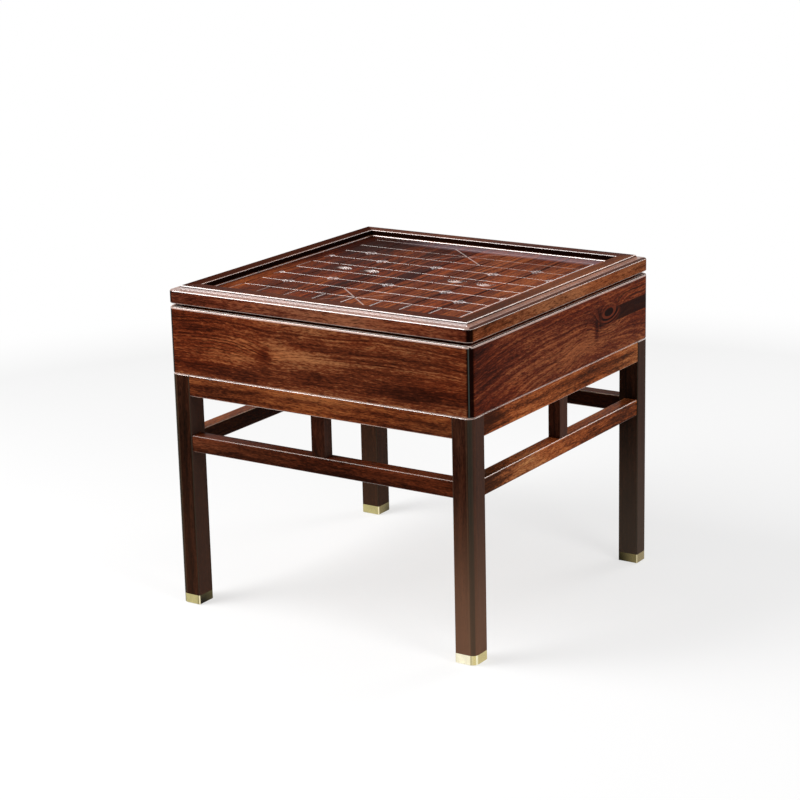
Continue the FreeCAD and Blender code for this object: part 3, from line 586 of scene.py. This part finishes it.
def inward(shader, place):
    """1 on upright faces that look in under the box, where shade is painted on."""
    level = shader.vector("MULTIPLY", shader.normal(), (1, 1, 0))
    outlook = shader.vector("DOT_PRODUCT", level, place, out="Value")
    return shader.fade(outlook, *INWARD_EDGE)


def level_line(shader, place, low, high, outside):
    """1 between two heights on the part of a piece that lies further out than a limit."""
    away = distances(shader, place)
    above = shader.spread(away["Z"], low - LINE_SOFT, low)
    below = shader.fade(away["Z"], high, high + LINE_SOFT)
    outermost = shader.math("MAXIMUM", away["X"], away["Y"])
    return shader.product(above, below, shader.spread(outermost, outside - LINE_SOFT, outside))


def hatching(shader, place):
    """Slanting stripes, as a moulding's reflections of the grain show them."""
    slanted = shader.vector("DOT_PRODUCT", place, HATCH_SLANT, out="Value")
    return shader.spread(shader.math("SINE", slanted), *HATCH_SHARES, *HATCH_DEPTH_SHARES)


class Timber:
    """How one piece of rosewood is cut and polished: where its growth rings lie, how it shines, and where
    light and shade are painted on it.
    """

    # the growth rings: their middle, how much they narrow, climb and wander, and how many there are per metre
    pith = (0, 0.12, -0.1)
    taper = 0.1
    slope = 0.0
    drift = 0.02
    rings = 55

    # how strongly tones differ, how much the fine rings and the clouds weigh, and how fine the clouds are
    contrast = 1.0
    figure = 0.2
    cloudiness = 0.28
    clouds = (4, 16, 16)

    # features in places of their own, and painted reflections on the board
    eyes = ()
    shades = ()
    arches = ()
    bands = ()
    knots = ()
    painted_reflections = ()

    # painted shade on level tops, inward faces, rounded corners and the wall round the board opening, painted
    # reflections down corners, painted lines along mouldings, painted light on sides and feet
    top_depth = 0.0
    painted_inside_shade = 0.0
    painted_dark_corner = 0.0
    painted_corner_reflections = ()
    painted_level_lines = ()
    painted_side_light = None
    painted_foot_light = None
    painted_recess_shade = None
    engraved = False

    # how much pale colour the arrises get, part wear and part painted highlight, and how the flat wood and
    # the arrises shine
    worn = 0.45
    ior = 1.06
    arris_ior = 1.9
    glossy_all_over = False

    def __init__(self, context, wood, **cut):
        woods = context.scene.chess_table_woods
        self.tones = [tuple(getattr(woods, f"{wood}_{part}")) for part in TONE_PARTS]
        self.roughness = woods.polish
        for trait, value in cut.items():
            setattr(self, trait, value)


def growth_rings(shader, cut, bent):
    """Distance from the pith, with humps that draw the rings into eyes round knots and feathers."""
    climb = shader.vector("DOT_PRODUCT", bent, (cut.slope, 0, 0), out="Value")
    level = shader.vector("SUBTRACT", bent, shader.add("ShaderNodeCombineXYZ", {"Z": climb}).outputs[0])
    from_pith = shader.vector("MULTIPLY", shader.vector("SUBTRACT", level, cut.pith), (cut.taper, 1, 1))
    radius = shader.length(from_pith)
    for centre, reach, height in cut.eyes:
        hump = shader.product(bell(shader, bent, centre, reach), height)
        radius = shader.math("ADD", radius, hump)
    return radius


class Grain:
    """The noises of one wood, all in step with each other, and the share of light wood that they give."""

    def __init__(self, shader, place, turn, start, cut):
        self.along = shader.add("ShaderNodeMapping", {"Vector": place, "Rotation": turn}).outputs["Vector"]
        own = shader.vector("ADD", self.along, start)
        wander = shader.streaks(own, *WANDER_NOISE, out="Color")
        push = shader.vector("SUBTRACT", wander, (MIDDLE_SHARE,) * 3)
        push = shader.vector("MULTIPLY", push, (cut.drift,) * 3)
        fine = shader.vector("ADD", own, push)
        self.bent = shader.vector("ADD", self.along, push)
        self.warmth = shader.streaks(fine, *WARMTH_NOISE)
        self.streak = shader.streaks(fine, *STREAK_NOISE)
        self.fleck = shader.streaks(fine, *FLECK_NOISE)
        self.fibre = shader.streaks(fine, *FIBRE_NOISE)
        self.radius = growth_rings(shader, cut, self.bent)
        self.blend = self.weighed(shader, fine, cut)

    def weighed(self, shader, fine, cut):
        """The share of light wood: every noise by its weight, and the patches that the photo shows."""
        weights = (
            (shader.line_noise(self.radius, cut.rings, *RING_DETAIL), RING_SHARE),
            (shader.line_noise(self.radius, cut.rings * FINE_RINGS_SHARE, *FINE_RING_DETAIL), cut.figure),
            (shader.streaks(fine, cut.clouds, *CLOUD_DETAIL), cut.cloudiness),
            (shader.streaks(fine, *PORE_NOISE), PORE_SHARE),
            (self.streak, STREAK_SHARE),
            (self.fibre, FIBRE_SHARE),
        )
        blend = MIDDLE_SHARE - MIDDLE_SHARE * sum(weight for part, weight in weights)
        for part, weight in weights:
            blend = shader.math("ADD", blend, shader.product(part, weight))
        for centre, reach, amount in cut.shades:
            blend = shader.math("ADD", blend, shader.product(bell(shader, self.bent, centre, reach), amount))
        return blend

    def ripples(self, shader, spacing):
        """A wave that rises once for every ring."""
        return shader.math("SINE", shader.product(self.radius, math.tau / spacing))


def knot(shader, grain, centre, reach, spacing, stretch):
    """The body of a knot, drawn out along the grain, and the tight growth rings in it."""
    away = shader.vector("MULTIPLY", shader.vector("SUBTRACT", grain.bent, centre), (1 / stretch, 1, 1))
    body = shader.fade(shader.length(away), reach * KNOT_CORE_SHARE, reach)
    return body, shader.product(body, shader.spread(grain.ripples(shader, spacing), *KNOT_RING_SHARES))


def plain_grain(shader, grain, cut):
    """The wood's own colours: rings, warm and cool patches and pores."""
    dark, middle, light = cut.tones
    deep = scaled(dark, DEEP_SHARE)
    shades = (deep, dark, middle, light, scaled(light, PALE_SHARE))
    places = [MIDDLE_SHARE + step * TONE_STEP_SHARE / cut.contrast for step in TONE_STEPS]
    base = shader.ramp(grain.blend, list(zip(places, shades)))
    base = shader.mix(shader.spread(grain.warmth, *WARM_SHARES), base, WARM_TINT, "MULTIPLY")
    return blended(shader, base, shader.spread(grain.fleck, *FLECK_SHARES, 0.0, FLECK_SHARE), deep)


def figured(shader, base, grain, cut):
    """The base with arched lines, dark bands and knots."""
    dark, middle, _ = cut.tones
    for centre, reach, spacing, amount in cut.arches:
        line = shader.spread(grain.ripples(shader, spacing), *ARCH_SHARES)
        unbroken = shader.spread(grain.streak, *ARCH_BREAK_SHARES, amount, ARCH_LEAST_SHARE)
        inside = shader.product(line, unbroken, bell(shader, grain.along, centre, reach))
        base = blended(shader, base, inside, scaled(dark, DEEP_SHARE))
    for centre, half_size, soft, amount in cut.bands:
        inside = shader.product(band(shader, grain.along, centre, half_size, soft), amount)
        streaked = shader.mix(grain.streak, *(opaque(scaled(dark, part)) for part in BAND_TONE_SHARES))
        base = shader.mix(inside, base, streaked)
    for centre, reach, spacing, stretch in cut.knots:
        body, ring = knot(shader, grain, centre, reach, spacing, stretch)
        base = blended(shader, base, shader.product(body, KNOT_SHARE), scaled(middle, KNOT_TONE_SHARE))
        lines = shader.product(ring, KNOT_RING_SHARE)
        base = blended(shader, base, lines, scaled(dark, KNOT_RING_TONE_SHARE))
    return base


def painted_light_and_shade(shader, base, place, facing, cut):
    """Painted light and shade over the grain: shade on level tops, inward faces, rounded corners and the wall
    round the board, light on sides and feet, and reflections down rounded corners.
    """
    dark = cut.tones[0]
    black = scaled(dark, BLACK_SHARE)
    # painted shade on level tops
    if cut.top_depth:
        base = blended(shader, base, shader.spread(facing["Z"], *LEVEL_SHARES, 0.0, cut.top_depth), dark)
    # painted shade on faces that look in under the box
    if cut.painted_inside_shade:
        base = blended(shader, base, shader.product(inward(shader, place), cut.painted_inside_shade), black)
    # painted light on sides that face along X
    if cut.painted_side_light:
        sideways = shader.spread(facing["X"], *SIDEWAYS_SHARES, 0.0, cut.painted_side_light)
        base = blended(shader, base, sideways, tone(LIT_SIDE_CODE))
    # painted light, strongest at the foot and gone higher up
    if cut.painted_foot_light:
        code, amount = cut.painted_foot_light
        low = shader.fade(shader.parts(place)["Z"], 0.0, PAINTED_FOOT_LIGHT_TOP, amount)
        base = blended(shader, base, low, tone(code))
    # painted dark reflection on the rounded upright corners
    if cut.painted_dark_corner:
        base = blended(shader, base, shader.product(upright_round(shader, facing), cut.painted_dark_corner), black)
    # painted reflections and highlights down the rounded corners
    base = painted_corner_reflections(shader, base, facing, cut.painted_corner_reflections)
    # painted shade on the wall round the board opening
    if cut.painted_recess_shade:
        base = blended(shader, base, inner_wall(shader, place, facing, cut.painted_recess_shade), black)
    return base


def lined(shader, base, shine, place, cut):
    """The base and its shine with the painted highlight, reflection and shade lines along the mouldings."""
    for low, high, outside, code, amount, shine_there in cut.painted_level_lines:
        line = level_line(shader, place, low, high, outside)
        # painted highlight, reflection or shade along a moulding
        base = blended(shader, base, shader.product(line, amount), tone(code))
        hatched = shader.product(hatching(shader, place), shine_there)
        elsewhere = shader.product(shine, shader.math("SUBTRACT", 1.0, line))
        shine = shader.math("ADD", elsewhere, shader.product(line, hatched))
    return base, shine


def near_crossing(shader, value, centre):
    """1 where a coordinate is as close to a crossing as its corner marks."""
    away = shader.math("ABSOLUTE", shader.math("SUBTRACT", value, centre))
    return shader.fade(away, *MARK_EDGE)


def marked(shader, place, facing):
    """1 on the slopes of the cuts round the crossings that carry corner marks, which get a painted highlight.
    """
    away = distances(shader, place)
    from_file = shader.math("WRAP", shader.parts(place)["X"], FILE_GAP, -FILE_GAP)
    soldiers = shader.product(
        near_crossing(shader, away["Y"], SOLDIER_RANK), near_crossing(shader, from_file, 0),
    )
    cannons = shader.product(
        near_crossing(shader, away["Y"], CANNON_RANK), near_crossing(shader, away["X"], CANNON_FILE),
    )
    sloped = shader.fade(facing["Z"], *FLAT_GROUND_SHARES)
    return shader.product(shader.math("MAXIMUM", soldiers, cannons), sloped)


def dull_files(shader, place):
    """1 where the board's files lose their shine and get painted shade: not at its front, its right edge or
    the river.
    """
    parts = shader.parts(place)
    behind = shader.spread(parts["Y"], *DULL_FRONT_EDGE)
    inner = shader.fade(parts["X"], *DULL_RIGHT_EDGE)
    ashore = shader.spread(shader.math("ABSOLUTE", parts["Y"]), *DULL_RIVER_EDGE)
    return shader.product(behind, inner, ashore)


def river_waves(shader, place, facing):
    """Shares on the waves' slopes: painted highlight on those that face the board's front and back, painted
    shade on those that face its ends.
    """
    away = distances(shader, place)
    afloat = shader.fade(away["Y"], *RIVER_EDGE)
    sloped = shader.fade(facing["Z"], *FLAT_GROUND_SHARES)
    bright = shader.product(afloat, sloped, shader.spread(facing["Y"], *WAVE_FRONT_SHARES, 0.0, WAVE_HIGHLIGHT_SHARE))
    towards_ends = shader.spread(facing["X"], *WAVE_END_SHARES, 0.0, WAVE_SHADOW_SHARE)
    return bright, shader.product(afloat, shader.fade(away["X"], *WAVES_EDGE), towards_ends)


def engraved(shader, base, place, facing, cut):
    """The base with painted highlight and painted shade in the cuts, and the share of shine that is left in
    them.
    """
    dark = cut.tones[0]
    mark = marked(shader, place, facing)
    unmarked = shader.math("SUBTRACT", 1.0, shader.product(mark, MARK_SPARED_SHARE))
    dull_and_shaded = shader.product(shader.spread(facing["X"], *CROSSWISE_SHARES), dull_files(shader, place), unmarked)
    wave, shadow = river_waves(shader, place, facing)
    # painted highlight on the marks' cuts and the waves, painted shade in the files and towards the waves'
    # ends
    layers = (
        (shader.product(mark, MARK_HIGHLIGHT_SHARE), MARK_HIGHLIGHT_TINT),
        (shader.product(dull_and_shaded, FILE_SHADE_SHARE), scaled(dark, FILE_SHADE_TONE_SHARE)),
        (shadow, scaled(dark, WAVE_SHADOW_TONE_SHARE)),
        (wave, WAVE_HIGHLIGHT_TINT),
    )
    for amount, shade in layers:
        base = blended(shader, base, amount, shade)
    return base, shader.math("SUBTRACT", shader.math("SUBTRACT", 1.0, dull_and_shaded), shadow)


def uneven(shader, noise, roughness, shares):
    """A roughness that follows a noise, between two shares below and above its usual one."""
    low, high = (roughness + part for part in shares)
    return shader.spread(noise, *STREAK_SHARES, low, high)


def rosewood(name, direction, cut):
    """Polished rosewood: drifting growth rings, fibre streaks, open pores and burnished arrises, with painted
    light and shade.
    """
    shader = new_finish(name)
    place = shader.place()
    facing = steepness(shader)
    grain = Grain(shader, place, GRAIN_TURNS[direction], GRAIN_STARTS[name], cut)
    base = figured(shader, plain_grain(shader, grain, cut), grain, cut)
    base = painted_light_and_shade(shader, base, place, facing, cut)
    base, shine = lined(shader, base, burnished(shader, facing), place, cut)
    worn = shader.spread(grain.streak, *STREAK_SHARES, *scaled(WEAR_AND_SHEEN_SHARES, cut.worn))
    if cut.engraved:
        base, left = engraved(shader, base, place, facing, cut)
        shine = shader.product(shine, left)
    # pale colour on the arrises, part wear and part painted highlight
    base = blended(shader, base, shader.product(shine, worn), tone(WEAR_AND_SHEEN_CODE))
    # painted reflection on the board
    for centre, half_size, soft, amount in cut.painted_reflections:
        inside = shader.product(band(shader, grain.along, centre, half_size, soft), amount)
        base = blended(shader, base, inside, tone(PAINTED_REFLECTION_CODE))
    pits = shader.spread(grain.fleck, *PIT_SHARES)
    height = shader.math("SUBTRACT", shader.product(grain.fibre, FIBRE_HEIGHT_SHARE), pits)
    surface = shader.add("ShaderNodeBsdfPrincipled", {
        "Base Color": base,
        "Roughness": uneven(shader, grain.streak, cut.roughness, WOOD_ROUGHNESS_SHARES),
        "IOR": cut.ior,
        "Coat Weight": 1.0 if cut.glossy_all_over else shine,
        "Coat Roughness": COAT_ROUGHNESS_SHARE,
        "Coat IOR": cut.arris_ior,
        "Normal": shader.bump(height, BUMP_SHARE, BUMP_DEPTH),
    })
    return shader.finish(surface.outputs[0])


def cap_light(shader, base, place, side, corner, shadows, edge, lines):
    """A foot cap's painted light and shade: its lit or shaded side tone, painted shadows, a painted highlight
    on its sharp edge and painted reflections on its rounded corner.
    """
    facing = steepness(shader)
    base = blended(shader, base, shader.spread(facing["X"], *CAP_SIDE_SHARES, 0.0, CAP_SIDE_SHARE), side)
    from_corner = shader.vector("SUBTRACT", place, corner)
    for centre, reach, amount in shadows:
        fade = shader.product(bell(shader, from_corner, centre, reach), amount)
        base = blended(shader, base, fade, tone(CAP_SHADOW_CODE))
    level = shader.vector("MULTIPLY", from_corner, (1, 1, 0))
    base = blended(shader, base, shader.fade(shader.length(level), *CAP_EDGE, edge), tone(CAP_HIGHLIGHT_CODE))
    return painted_corner_reflections(shader, base, facing, lines)


def brushed_metal(name, shade, roughness, *light):
    """Brushed metal with a slightly uneven lacquer, and on a foot cap its painted light and shade."""
    shader = new_finish(name)
    place = shader.place()
    brushed = shader.streaks(place, *BRUSH_NOISE)
    lacquer = shader.noise(place, *LACQUER_NOISE)
    cloud = shader.spread(lacquer, *LACQUER_SHARES, 0.0, LACQUER_DEPTH_SHARE)
    base = shader.mix(cloud, opaque(shade), opaque(scaled(shade, LACQUER_TONE_SHARE)))
    if light:
        base = cap_light(shader, base, place, *light)
    surface = shader.add("ShaderNodeBsdfPrincipled", {
        "Base Color": base,
        "Metallic": 1.0,
        "Roughness": uneven(shader, brushed, roughness, BRUSHED_ROUGHNESS_SHARES),
        "Normal": shader.bump(brushed, BUMP_SHARE, METAL_BUMP_DEPTH),
    })
    return shader.finish(surface.outputs[0])


def moulded_plastic(name, shade, roughness):
    """Moulded plastic with a fine grain."""
    shader = new_finish(name)
    grain = shader.noise(shader.place(), *PLASTIC_NOISE)
    cloud = shader.spread(grain, *STREAK_SHARES, 0.0, PLASTIC_CLOUD_SHARE)
    surface = shader.add("ShaderNodeBsdfPrincipled", {
        "Base Color": shader.mix(cloud, opaque(shade), opaque(scaled(shade, PLASTIC_TONE_SHARE))),
        "Roughness": roughness,
        "Normal": shader.bump(grain, PLASTIC_BUMP_SHARE, METAL_BUMP_DEPTH),
    })
    return shader.finish(surface.outputs[0])


def dress(names, material):
    """Give CAD nodes a finish in every one of their material slots."""
    for name in names:
        for slot in nodes[name].material_slots:
            slot.material = material


class WoodLooks(bpy.types.PropertyGroup):
    """The roughness of the polished wood, and with it the tones of every wood, which are added below."""

    polish: share("Roughness", "Roughness of the polished wood", 0.34)


for wood, (label, where, codes) in WOODS.items():
    for part, code in zip(TONE_PARTS, codes):
        setting = colour(f"{label}, {part} grain", f"The {part} tone of {where}", code)
        WoodLooks.__annotations__[f"{wood}_{part}"] = setting


class FittingLooks(bpy.types.PropertyGroup):
    """The looks of foot caps, screws and glides."""

    # painted light and shade: every brass tone here but brass_colour is a highlit or shaded copy of the brass
    bright_brass: colour("Bright brass", "Colour of the front right foot cap", "fff8da")
    bright_side: colour("Bright brass, side", "Colour of the front right foot cap's sides", "cfc084")
    brass_colour: colour("Brass", "Colour of the left foot caps", "c2b780")
    shaded_brass: colour("Shaded brass", "Colour of the front left foot cap's sides", "5a5030")
    # painted shade on the back foot caps
    dull_brass: colour("Dull brass", "Colour of the tarnished back foot caps", "8a7d54")
    dull_side: colour("Dull brass, side", "Colour of the back right foot cap's sides", "a39266")
    brass_roughness: share("Brass roughness", "Roughness of the foot caps", 0.28)
    steel_colour: colour("Steel", "Colour of the hidden screws", "a5a7aa")
    glide_colour: colour("Glides", "Colour of the nylon glides", "26241f")


class StudioSetup(bpy.types.PropertyGroup):
    """The floor and lamps."""

    floor_colour: colour("Floor", "Colour of the floor", "f4f4f4")
    floor_size: distance("Floor size", "Side of the square floor", 60.0)
    shadow_reach: distance("Shadow reach", "How far from the table the floor still shows its shadow", 1.1)
    shadow_softening: share("Shadow softening", "How far the floor's shadow is thinned with white", 0.65)
    ambient: share("Ambient light", "Strength of the even light from all round", 0.25)
    key_power: number("Key lamp", "Power of the front left softbox in watts", 88.0)
    side_power: number("Side lamp", "Power of the right softbox in watts", 22.0)
    rim_power: number("Rim lamp", "Power of the back right softbox in watts", 16.0)


def lid_rail(context, wood, lines, **cut):
    """Timber for one side of the lid's frame, with painted shade on its corners, its tops and the wall round
    the board, and painted lines along its ledge.
    """
    usual = {"ior": 1.03, "top_depth": 0.6, "painted_dark_corner": 0.97, "worn": 0.25, "arris_ior": 2.3}
    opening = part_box("lid_bead_right")[1][0]
    painted_level_lines = lines_along("lid_frame_front", lines)
    return Timber(context, wood, painted_recess_shade=opening, painted_level_lines=painted_level_lines, **{**usual, **cut})


def box_wall(context, wood, lines, **cut):
    """Timber for the box's walls, with close rings, painted shade and reflections on its corners and painted
    lines along the rim.
    """
    return Timber(
        context, wood, rings=90, drift=BOX_DRIFT, arris_ior=2.2, painted_dark_corner=0.97,
        painted_corner_reflections=BOX_CORNER_REFLECTIONS, painted_level_lines=lines_along("box_wall_front", lines), **cut,
    )


class FinishLid(bpy.types.Operator):
    """Polish the lid's mitred frame and bead"""

    bl_idname = "chess_table.finish_lid"
    bl_label = "Lid frame and bead"

    def execute(self, context):
        bead = Timber(context, "lid", glossy_all_over=True, arris_ior=2.4)
        dress(named("lid_bead", ALONG_X), rosewood("bead_wood_X", "X", bead))
        side_bead = Timber(context, "side", glossy_all_over=True, arris_ior=1.5, worn=0.08)
        dress(named("lid_bead", ALONG_Y), rosewood("bead_wood_Y", "Y", side_bead))
        front = lid_rail(context, "lid", LEDGE_PAINTED_LIGHT, shades=on_face(LID_FRONT_PATCHES))
        dress(named("lid_frame", ALONG_X), rosewood("lid_wood_X", "X", front))
        right = lid_rail(
            context, "side", RIGHT_LEDGE_PAINTED_LIGHT, arris_ior=1.7, worn=0.4,
            shades=on_face(LID_RIGHT_PATCHES, RAIL_FRONT),
        )
        dress(["lid_frame_right"], rosewood("lid_wood_right", "Y", right))
        left = lid_rail(context, "lid", LEDGE_PAINTED_LIGHT, arris_ior=1.7, ior=1.005, top_depth=0.9)
        dress(["lid_frame_left"], rosewood("lid_wood_left", "Y", left))
        return {"FINISHED"}


class FinishBoard(bpy.types.Operator):
    """Polish the engraved board"""

    bl_idname = "chess_table.finish_board"
    bl_label = "Engraved board"

    def execute(self, context):
        board = Timber(
            context, "board", engraved=True, ior=1.03, arris_ior=1.55, worn=0.14,
            pith=BOARD_PITH, figure=0.26, clouds=BOARD_CLOUDS, cloudiness=0.3,
            shades=on_board(BOARD_PATCHES), painted_reflections=on_board(BOARD_PAINTED_REFLECTIONS),
        )
        dress(["chess_board"], rosewood("board_wood", "Y", board))
        return {"FINISHED"}


class FinishBox(bpy.types.Operator):
    """Polish the figured walls of the storage box and its seat strips"""

    bl_idname = "chess_table.finish_box"
    bl_label = "Storage box"

    def execute(self, context):
        front = box_wall(
            context, "box", BRIGHT_RIM_PAINTED_LIGHT, pith=FRONT_PITH, taper=0.05, contrast=0.9, figure=0.13,
            eyes=on_face(FRONT_EYES), arches=on_face(FRONT_ARCHES), shades=on_face(FRONT_PATCHES),
        )
        right = box_wall(
            context, "flank", PLAIN_RIM_PAINTED_LIGHT, pith=RIGHT_PITH, taper=0.18, slope=0.04, contrast=0.85,
            figure=0.15, eyes=on_face(RIGHT_EYES), arches=on_face(RIGHT_ARCHES),
            shades=on_face(RIGHT_PATCHES), bands=on_face(RIGHT_BANDS), knots=RIGHT_KNOTS,
        )
        for grain, sides, cut in (("X", ALONG_X, front), ("Y", ALONG_Y, right)):
            pieces = named("box_wall", sides) + named("seat_strip", sides)
            dress(pieces, rosewood(f"box_wood_{grain}", grain, cut))
        return {"FINISHED"}


class FinishLegFrame(bpy.types.Operator):
    """Polish legs, rails, stretchers and struts"""

    bl_idname = "chess_table.finish_leg_frame"
    bl_label = "Leg frame"

    def execute(self, context):
        rail = Timber(
            context, "frame", arris_ior=2.4, painted_inside_shade=0.86, shades=on_face(RAIL_PATCHES, RAIL_FRONT),
        )
        for grain, sides in (("X", ALONG_X), ("Y", ("left",))):
            pieces = named("rail", sides) + named("stretcher", sides)
            dress(pieces, rosewood(f"frame_wood_{grain}", grain, rail))
        golden = Timber(
            context, "golden", arris_ior=1.7, painted_inside_shade=0.9, worn=0.3,
            shades=on_face(RIGHT_RAIL_PATCHES, RAIL_FRONT),
        )
        dress(["rail_right", "stretcher_right"], rosewood("golden_frame_wood", "Y", golden))
        low = Timber(
            context, "stretcher", arris_ior=1.35, painted_inside_shade=0.86, worn=0.12,
            shades=on_face(STRETCHER_PATCHES, RAIL_FRONT),
        )
        dress(["stretcher_front"], rosewood("stretcher_wood", "X", low))
        strut = Timber(context, "strut", contrast=0.7, painted_side_light=0.22)
        dress(named("strut", SIDES), rosewood("strut_wood", "Z", strut))
        for corner, (wood, painted_side_light, foot_code, foot_share) in LEG_LOOKS.items():
            leg = Timber(
                context, wood, contrast=0.6, painted_side_light=painted_side_light, painted_foot_light=(foot_code, foot_share),
                painted_corner_reflections=LEG_CORNER_REFLECTIONS,
            )
            dress([f"leg_{corner}"], rosewood(f"leg_wood_{corner}", "Z", leg))
        return {"FINISHED"}


class FinishFeet(bpy.types.Operator):
    """Brush the brass foot caps and give the glides their nylon"""

    bl_idname = "chess_table.finish_feet"
    bl_label = "Foot caps and glides"

    def execute(self, context):
        fittings = context.scene.chess_table_fittings
        for corner, (front, side, *light) in CAP_LOOKS.items():
            cap = f"foot_cap_{corner}"
            low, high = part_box(cap)
            front_shade, side_shade = (tuple(getattr(fittings, setting)) for setting in (front, side))
            near_edge = (high[0], low[1], low[2])
            brass = brushed_metal(
                f"{cap}_brass", front_shade, fittings.brass_roughness, side_shade, near_edge, *light,
            )
            dress([cap], brass)
        nylon = moulded_plastic("glide_nylon", tuple(fittings.glide_colour), NYLON_ROUGHNESS_SHARE)
        dress(named("glide", CORNERS), nylon)
        return {"FINISHED"}


class FinishHiddenTimber(bpy.types.Operator):
    """Give the floor panel, battens, splines, dowels and screws their plain finishes"""

    bl_idname = "chess_table.finish_hidden_timber"
    bl_label = "Hidden timber and screws"

    def execute(self, context):
        plain = Timber(context, "plain", roughness=SAWN_ROUGHNESS_SHARE)
        battens = named("lid_batten", ALONG_X) + named("floor_batten", ALONG_X)
        dress(["box_floor"] + battens + named("lid_locator", ALONG_X), rosewood("plain_wood_X", "X", plain))
        loose = ["lid_splines", "box_splines", "box_dowels"]
        dress(named("lid_locator", ALONG_Y) + loose, rosewood("plain_wood_Y", "Y", plain))
        steel_colour = tuple(context.scene.chess_table_fittings.steel_colour)
        steel = brushed_metal("screw_steel", steel_colour, STEEL_ROUGHNESS_SHARE)
        dress(["batten_screws", "seat_screws"], steel)
        return {"FINISHED"}


def seen(shader):
    """1 for rays that show something to the eye or in a reflection, 0 for those that carry light."""
    path = shader.add("ShaderNodeLightPath", {}).outputs
    shown = shader.math("MAXIMUM", path["Is Camera Ray"], path["Is Glossy Ray"])
    return shader.math("MAXIMUM", shown, path["Is Transmission Ray"])


def floor_finish(settings):
    """Pale paper that takes the table's shadow near it and turns plain white further out."""
    shader = new_finish("studio_floor")
    reach = shader.length(shader.place())
    outside = shader.spread(reach, settings.shadow_reach, settings.shadow_reach * SHADOW_END_SHARE)
    paper = shader.add("ShaderNodeBsdfDiffuse", {"Color": opaque(settings.floor_colour)}).outputs[0]
    white = shader.add("ShaderNodeEmission", {"Color": WHITE, "Strength": 1.0}).outputs[0]
    amount = shader.product(shader.math("MAXIMUM", outside, settings.shadow_softening), seen(shader))
    mixed = shader.add("ShaderNodeMixShader", {0: amount, 1: paper, 2: white})
    return shader.finish(mixed.outputs[0])


def light_world(ambient):
    """White to the eye and in reflections, and a weaker even light on the table."""
    shader = Shader(bpy.data.worlds.new("studio"))
    strength = shader.spread(seen(shader), 0.0, 1.0, ambient, 1.0)
    background = shader.add("ShaderNodeBackground", {"Color": WHITE, "Strength": strength})
    bpy.context.scene.world = shader.finish(background.outputs[0], "ShaderNodeOutputWorld")


def add_lamp(name, place, aim, upward, size, power):
    """A rectangular softbox that looks at a point, its height along the direction upward."""
    back = (Vector(place) - Vector(aim)).normalized()
    rise = Vector(upward) - Vector(upward).dot(back) * back
    rise.normalize()
    turn = Matrix((rise.cross(back), rise, back)).transposed()
    bpy.ops.object.light_add(type="AREA", location=place, rotation=turn.to_euler())
    lamp = bpy.context.object
    lamp.name = name
    lamp.data.shape = "RECTANGLE"
    lamp.data.size, lamp.data.size_y = size
    lamp.data.energy = power
    lamp.visible_camera = False


def add_camera():
    """The photograph's own viewpoint, with its slight roll."""
    forward = Vector((
        -math.sin(CAMERA_AZIMUTH) * math.cos(CAMERA_ELEVATION),
        math.cos(CAMERA_AZIMUTH) * math.cos(CAMERA_ELEVATION),
        -math.sin(CAMERA_ELEVATION),
    ))
    level = Vector((math.cos(CAMERA_AZIMUTH), math.sin(CAMERA_AZIMUTH), 0))
    down = forward.cross(level)
    across = math.cos(CAMERA_ROLL) * level + math.sin(CAMERA_ROLL) * down
    along = math.cos(CAMERA_ROLL) * down - math.sin(CAMERA_ROLL) * level
    turn = Matrix((across, -along, -forward)).transposed()
    bpy.ops.object.camera_add(location=CAMERA_PLACE, rotation=turn.to_euler())
    camera = bpy.context.object
    camera.name = "photo_camera"
    camera.data.lens = CAMERA_LENS
    camera.data.sensor_width = CAMERA_SENSOR
    bpy.context.scene.camera = camera


class SetStage(bpy.types.Operator):
    """Lay the pale floor, set the softboxes and stand the camera where the photograph was taken"""

    bl_idname = "chess_table.set_stage"
    bl_label = "Studio"

    def execute(self, context):
        settings = context.scene.chess_table_studio
        bpy.ops.object.select_all(action="DESELECT")
        bpy.ops.mesh.primitive_plane_add(size=settings.floor_size)
        floor = context.object
        floor.name = "studio_floor"
        floor.data.materials.append(floor_finish(settings))
        for name, (place, aim, upward, size, power) in SOFTBOXES.items():
            add_lamp(name, place, aim, upward, size, getattr(settings, power))
        light_world(settings.ambient)
        add_camera()
        context.scene.view_settings.view_transform = "Standard"
        return {"FINISHED"}


STEPS = (FinishLid, FinishBoard, FinishBox, FinishLegFrame, FinishFeet, FinishHiddenTimber, SetStage)

GROUPS = {
    "chess_table_woods": WoodLooks,
    "chess_table_fittings": FittingLooks,
    "chess_table_studio": StudioSetup,
}


class ChessTablePanel(bpy.types.Panel):
    """The table's finishes and its studio"""

    bl_idname = "VIEW3D_PT_chess_table"
    bl_label = "Chess table"
    bl_space_type = "VIEW_3D"
    bl_region_type = "UI"
    bl_category = "Chess table"

    def draw(self, context):
        for step in STEPS:
            self.layout.operator(step.bl_idname)
        for place, group in GROUPS.items():
            column = self.layout.column()
            for setting in group.__annotations__:
                column.prop(getattr(context.scene, place), setting)


def register():
    for part in (*GROUPS.values(), *STEPS, ChessTablePanel):
        bpy.utils.register_class(part)
    for place, group in GROUPS.items():
        setattr(bpy.types.Scene, place, bpy.props.PointerProperty(type=group))


def unregister():
    for place in GROUPS:
        delattr(bpy.types.Scene, place)
    for part in (ChessTablePanel, *reversed(STEPS), *reversed(list(GROUPS.values()))):
        bpy.utils.unregister_class(part)


def main():
    register()
    for step in STEPS:
        operation = getattr(bpy.ops.chess_table, step.bl_idname.split(".")[1])
        operation()


if __name__ == "__main__":
    main()
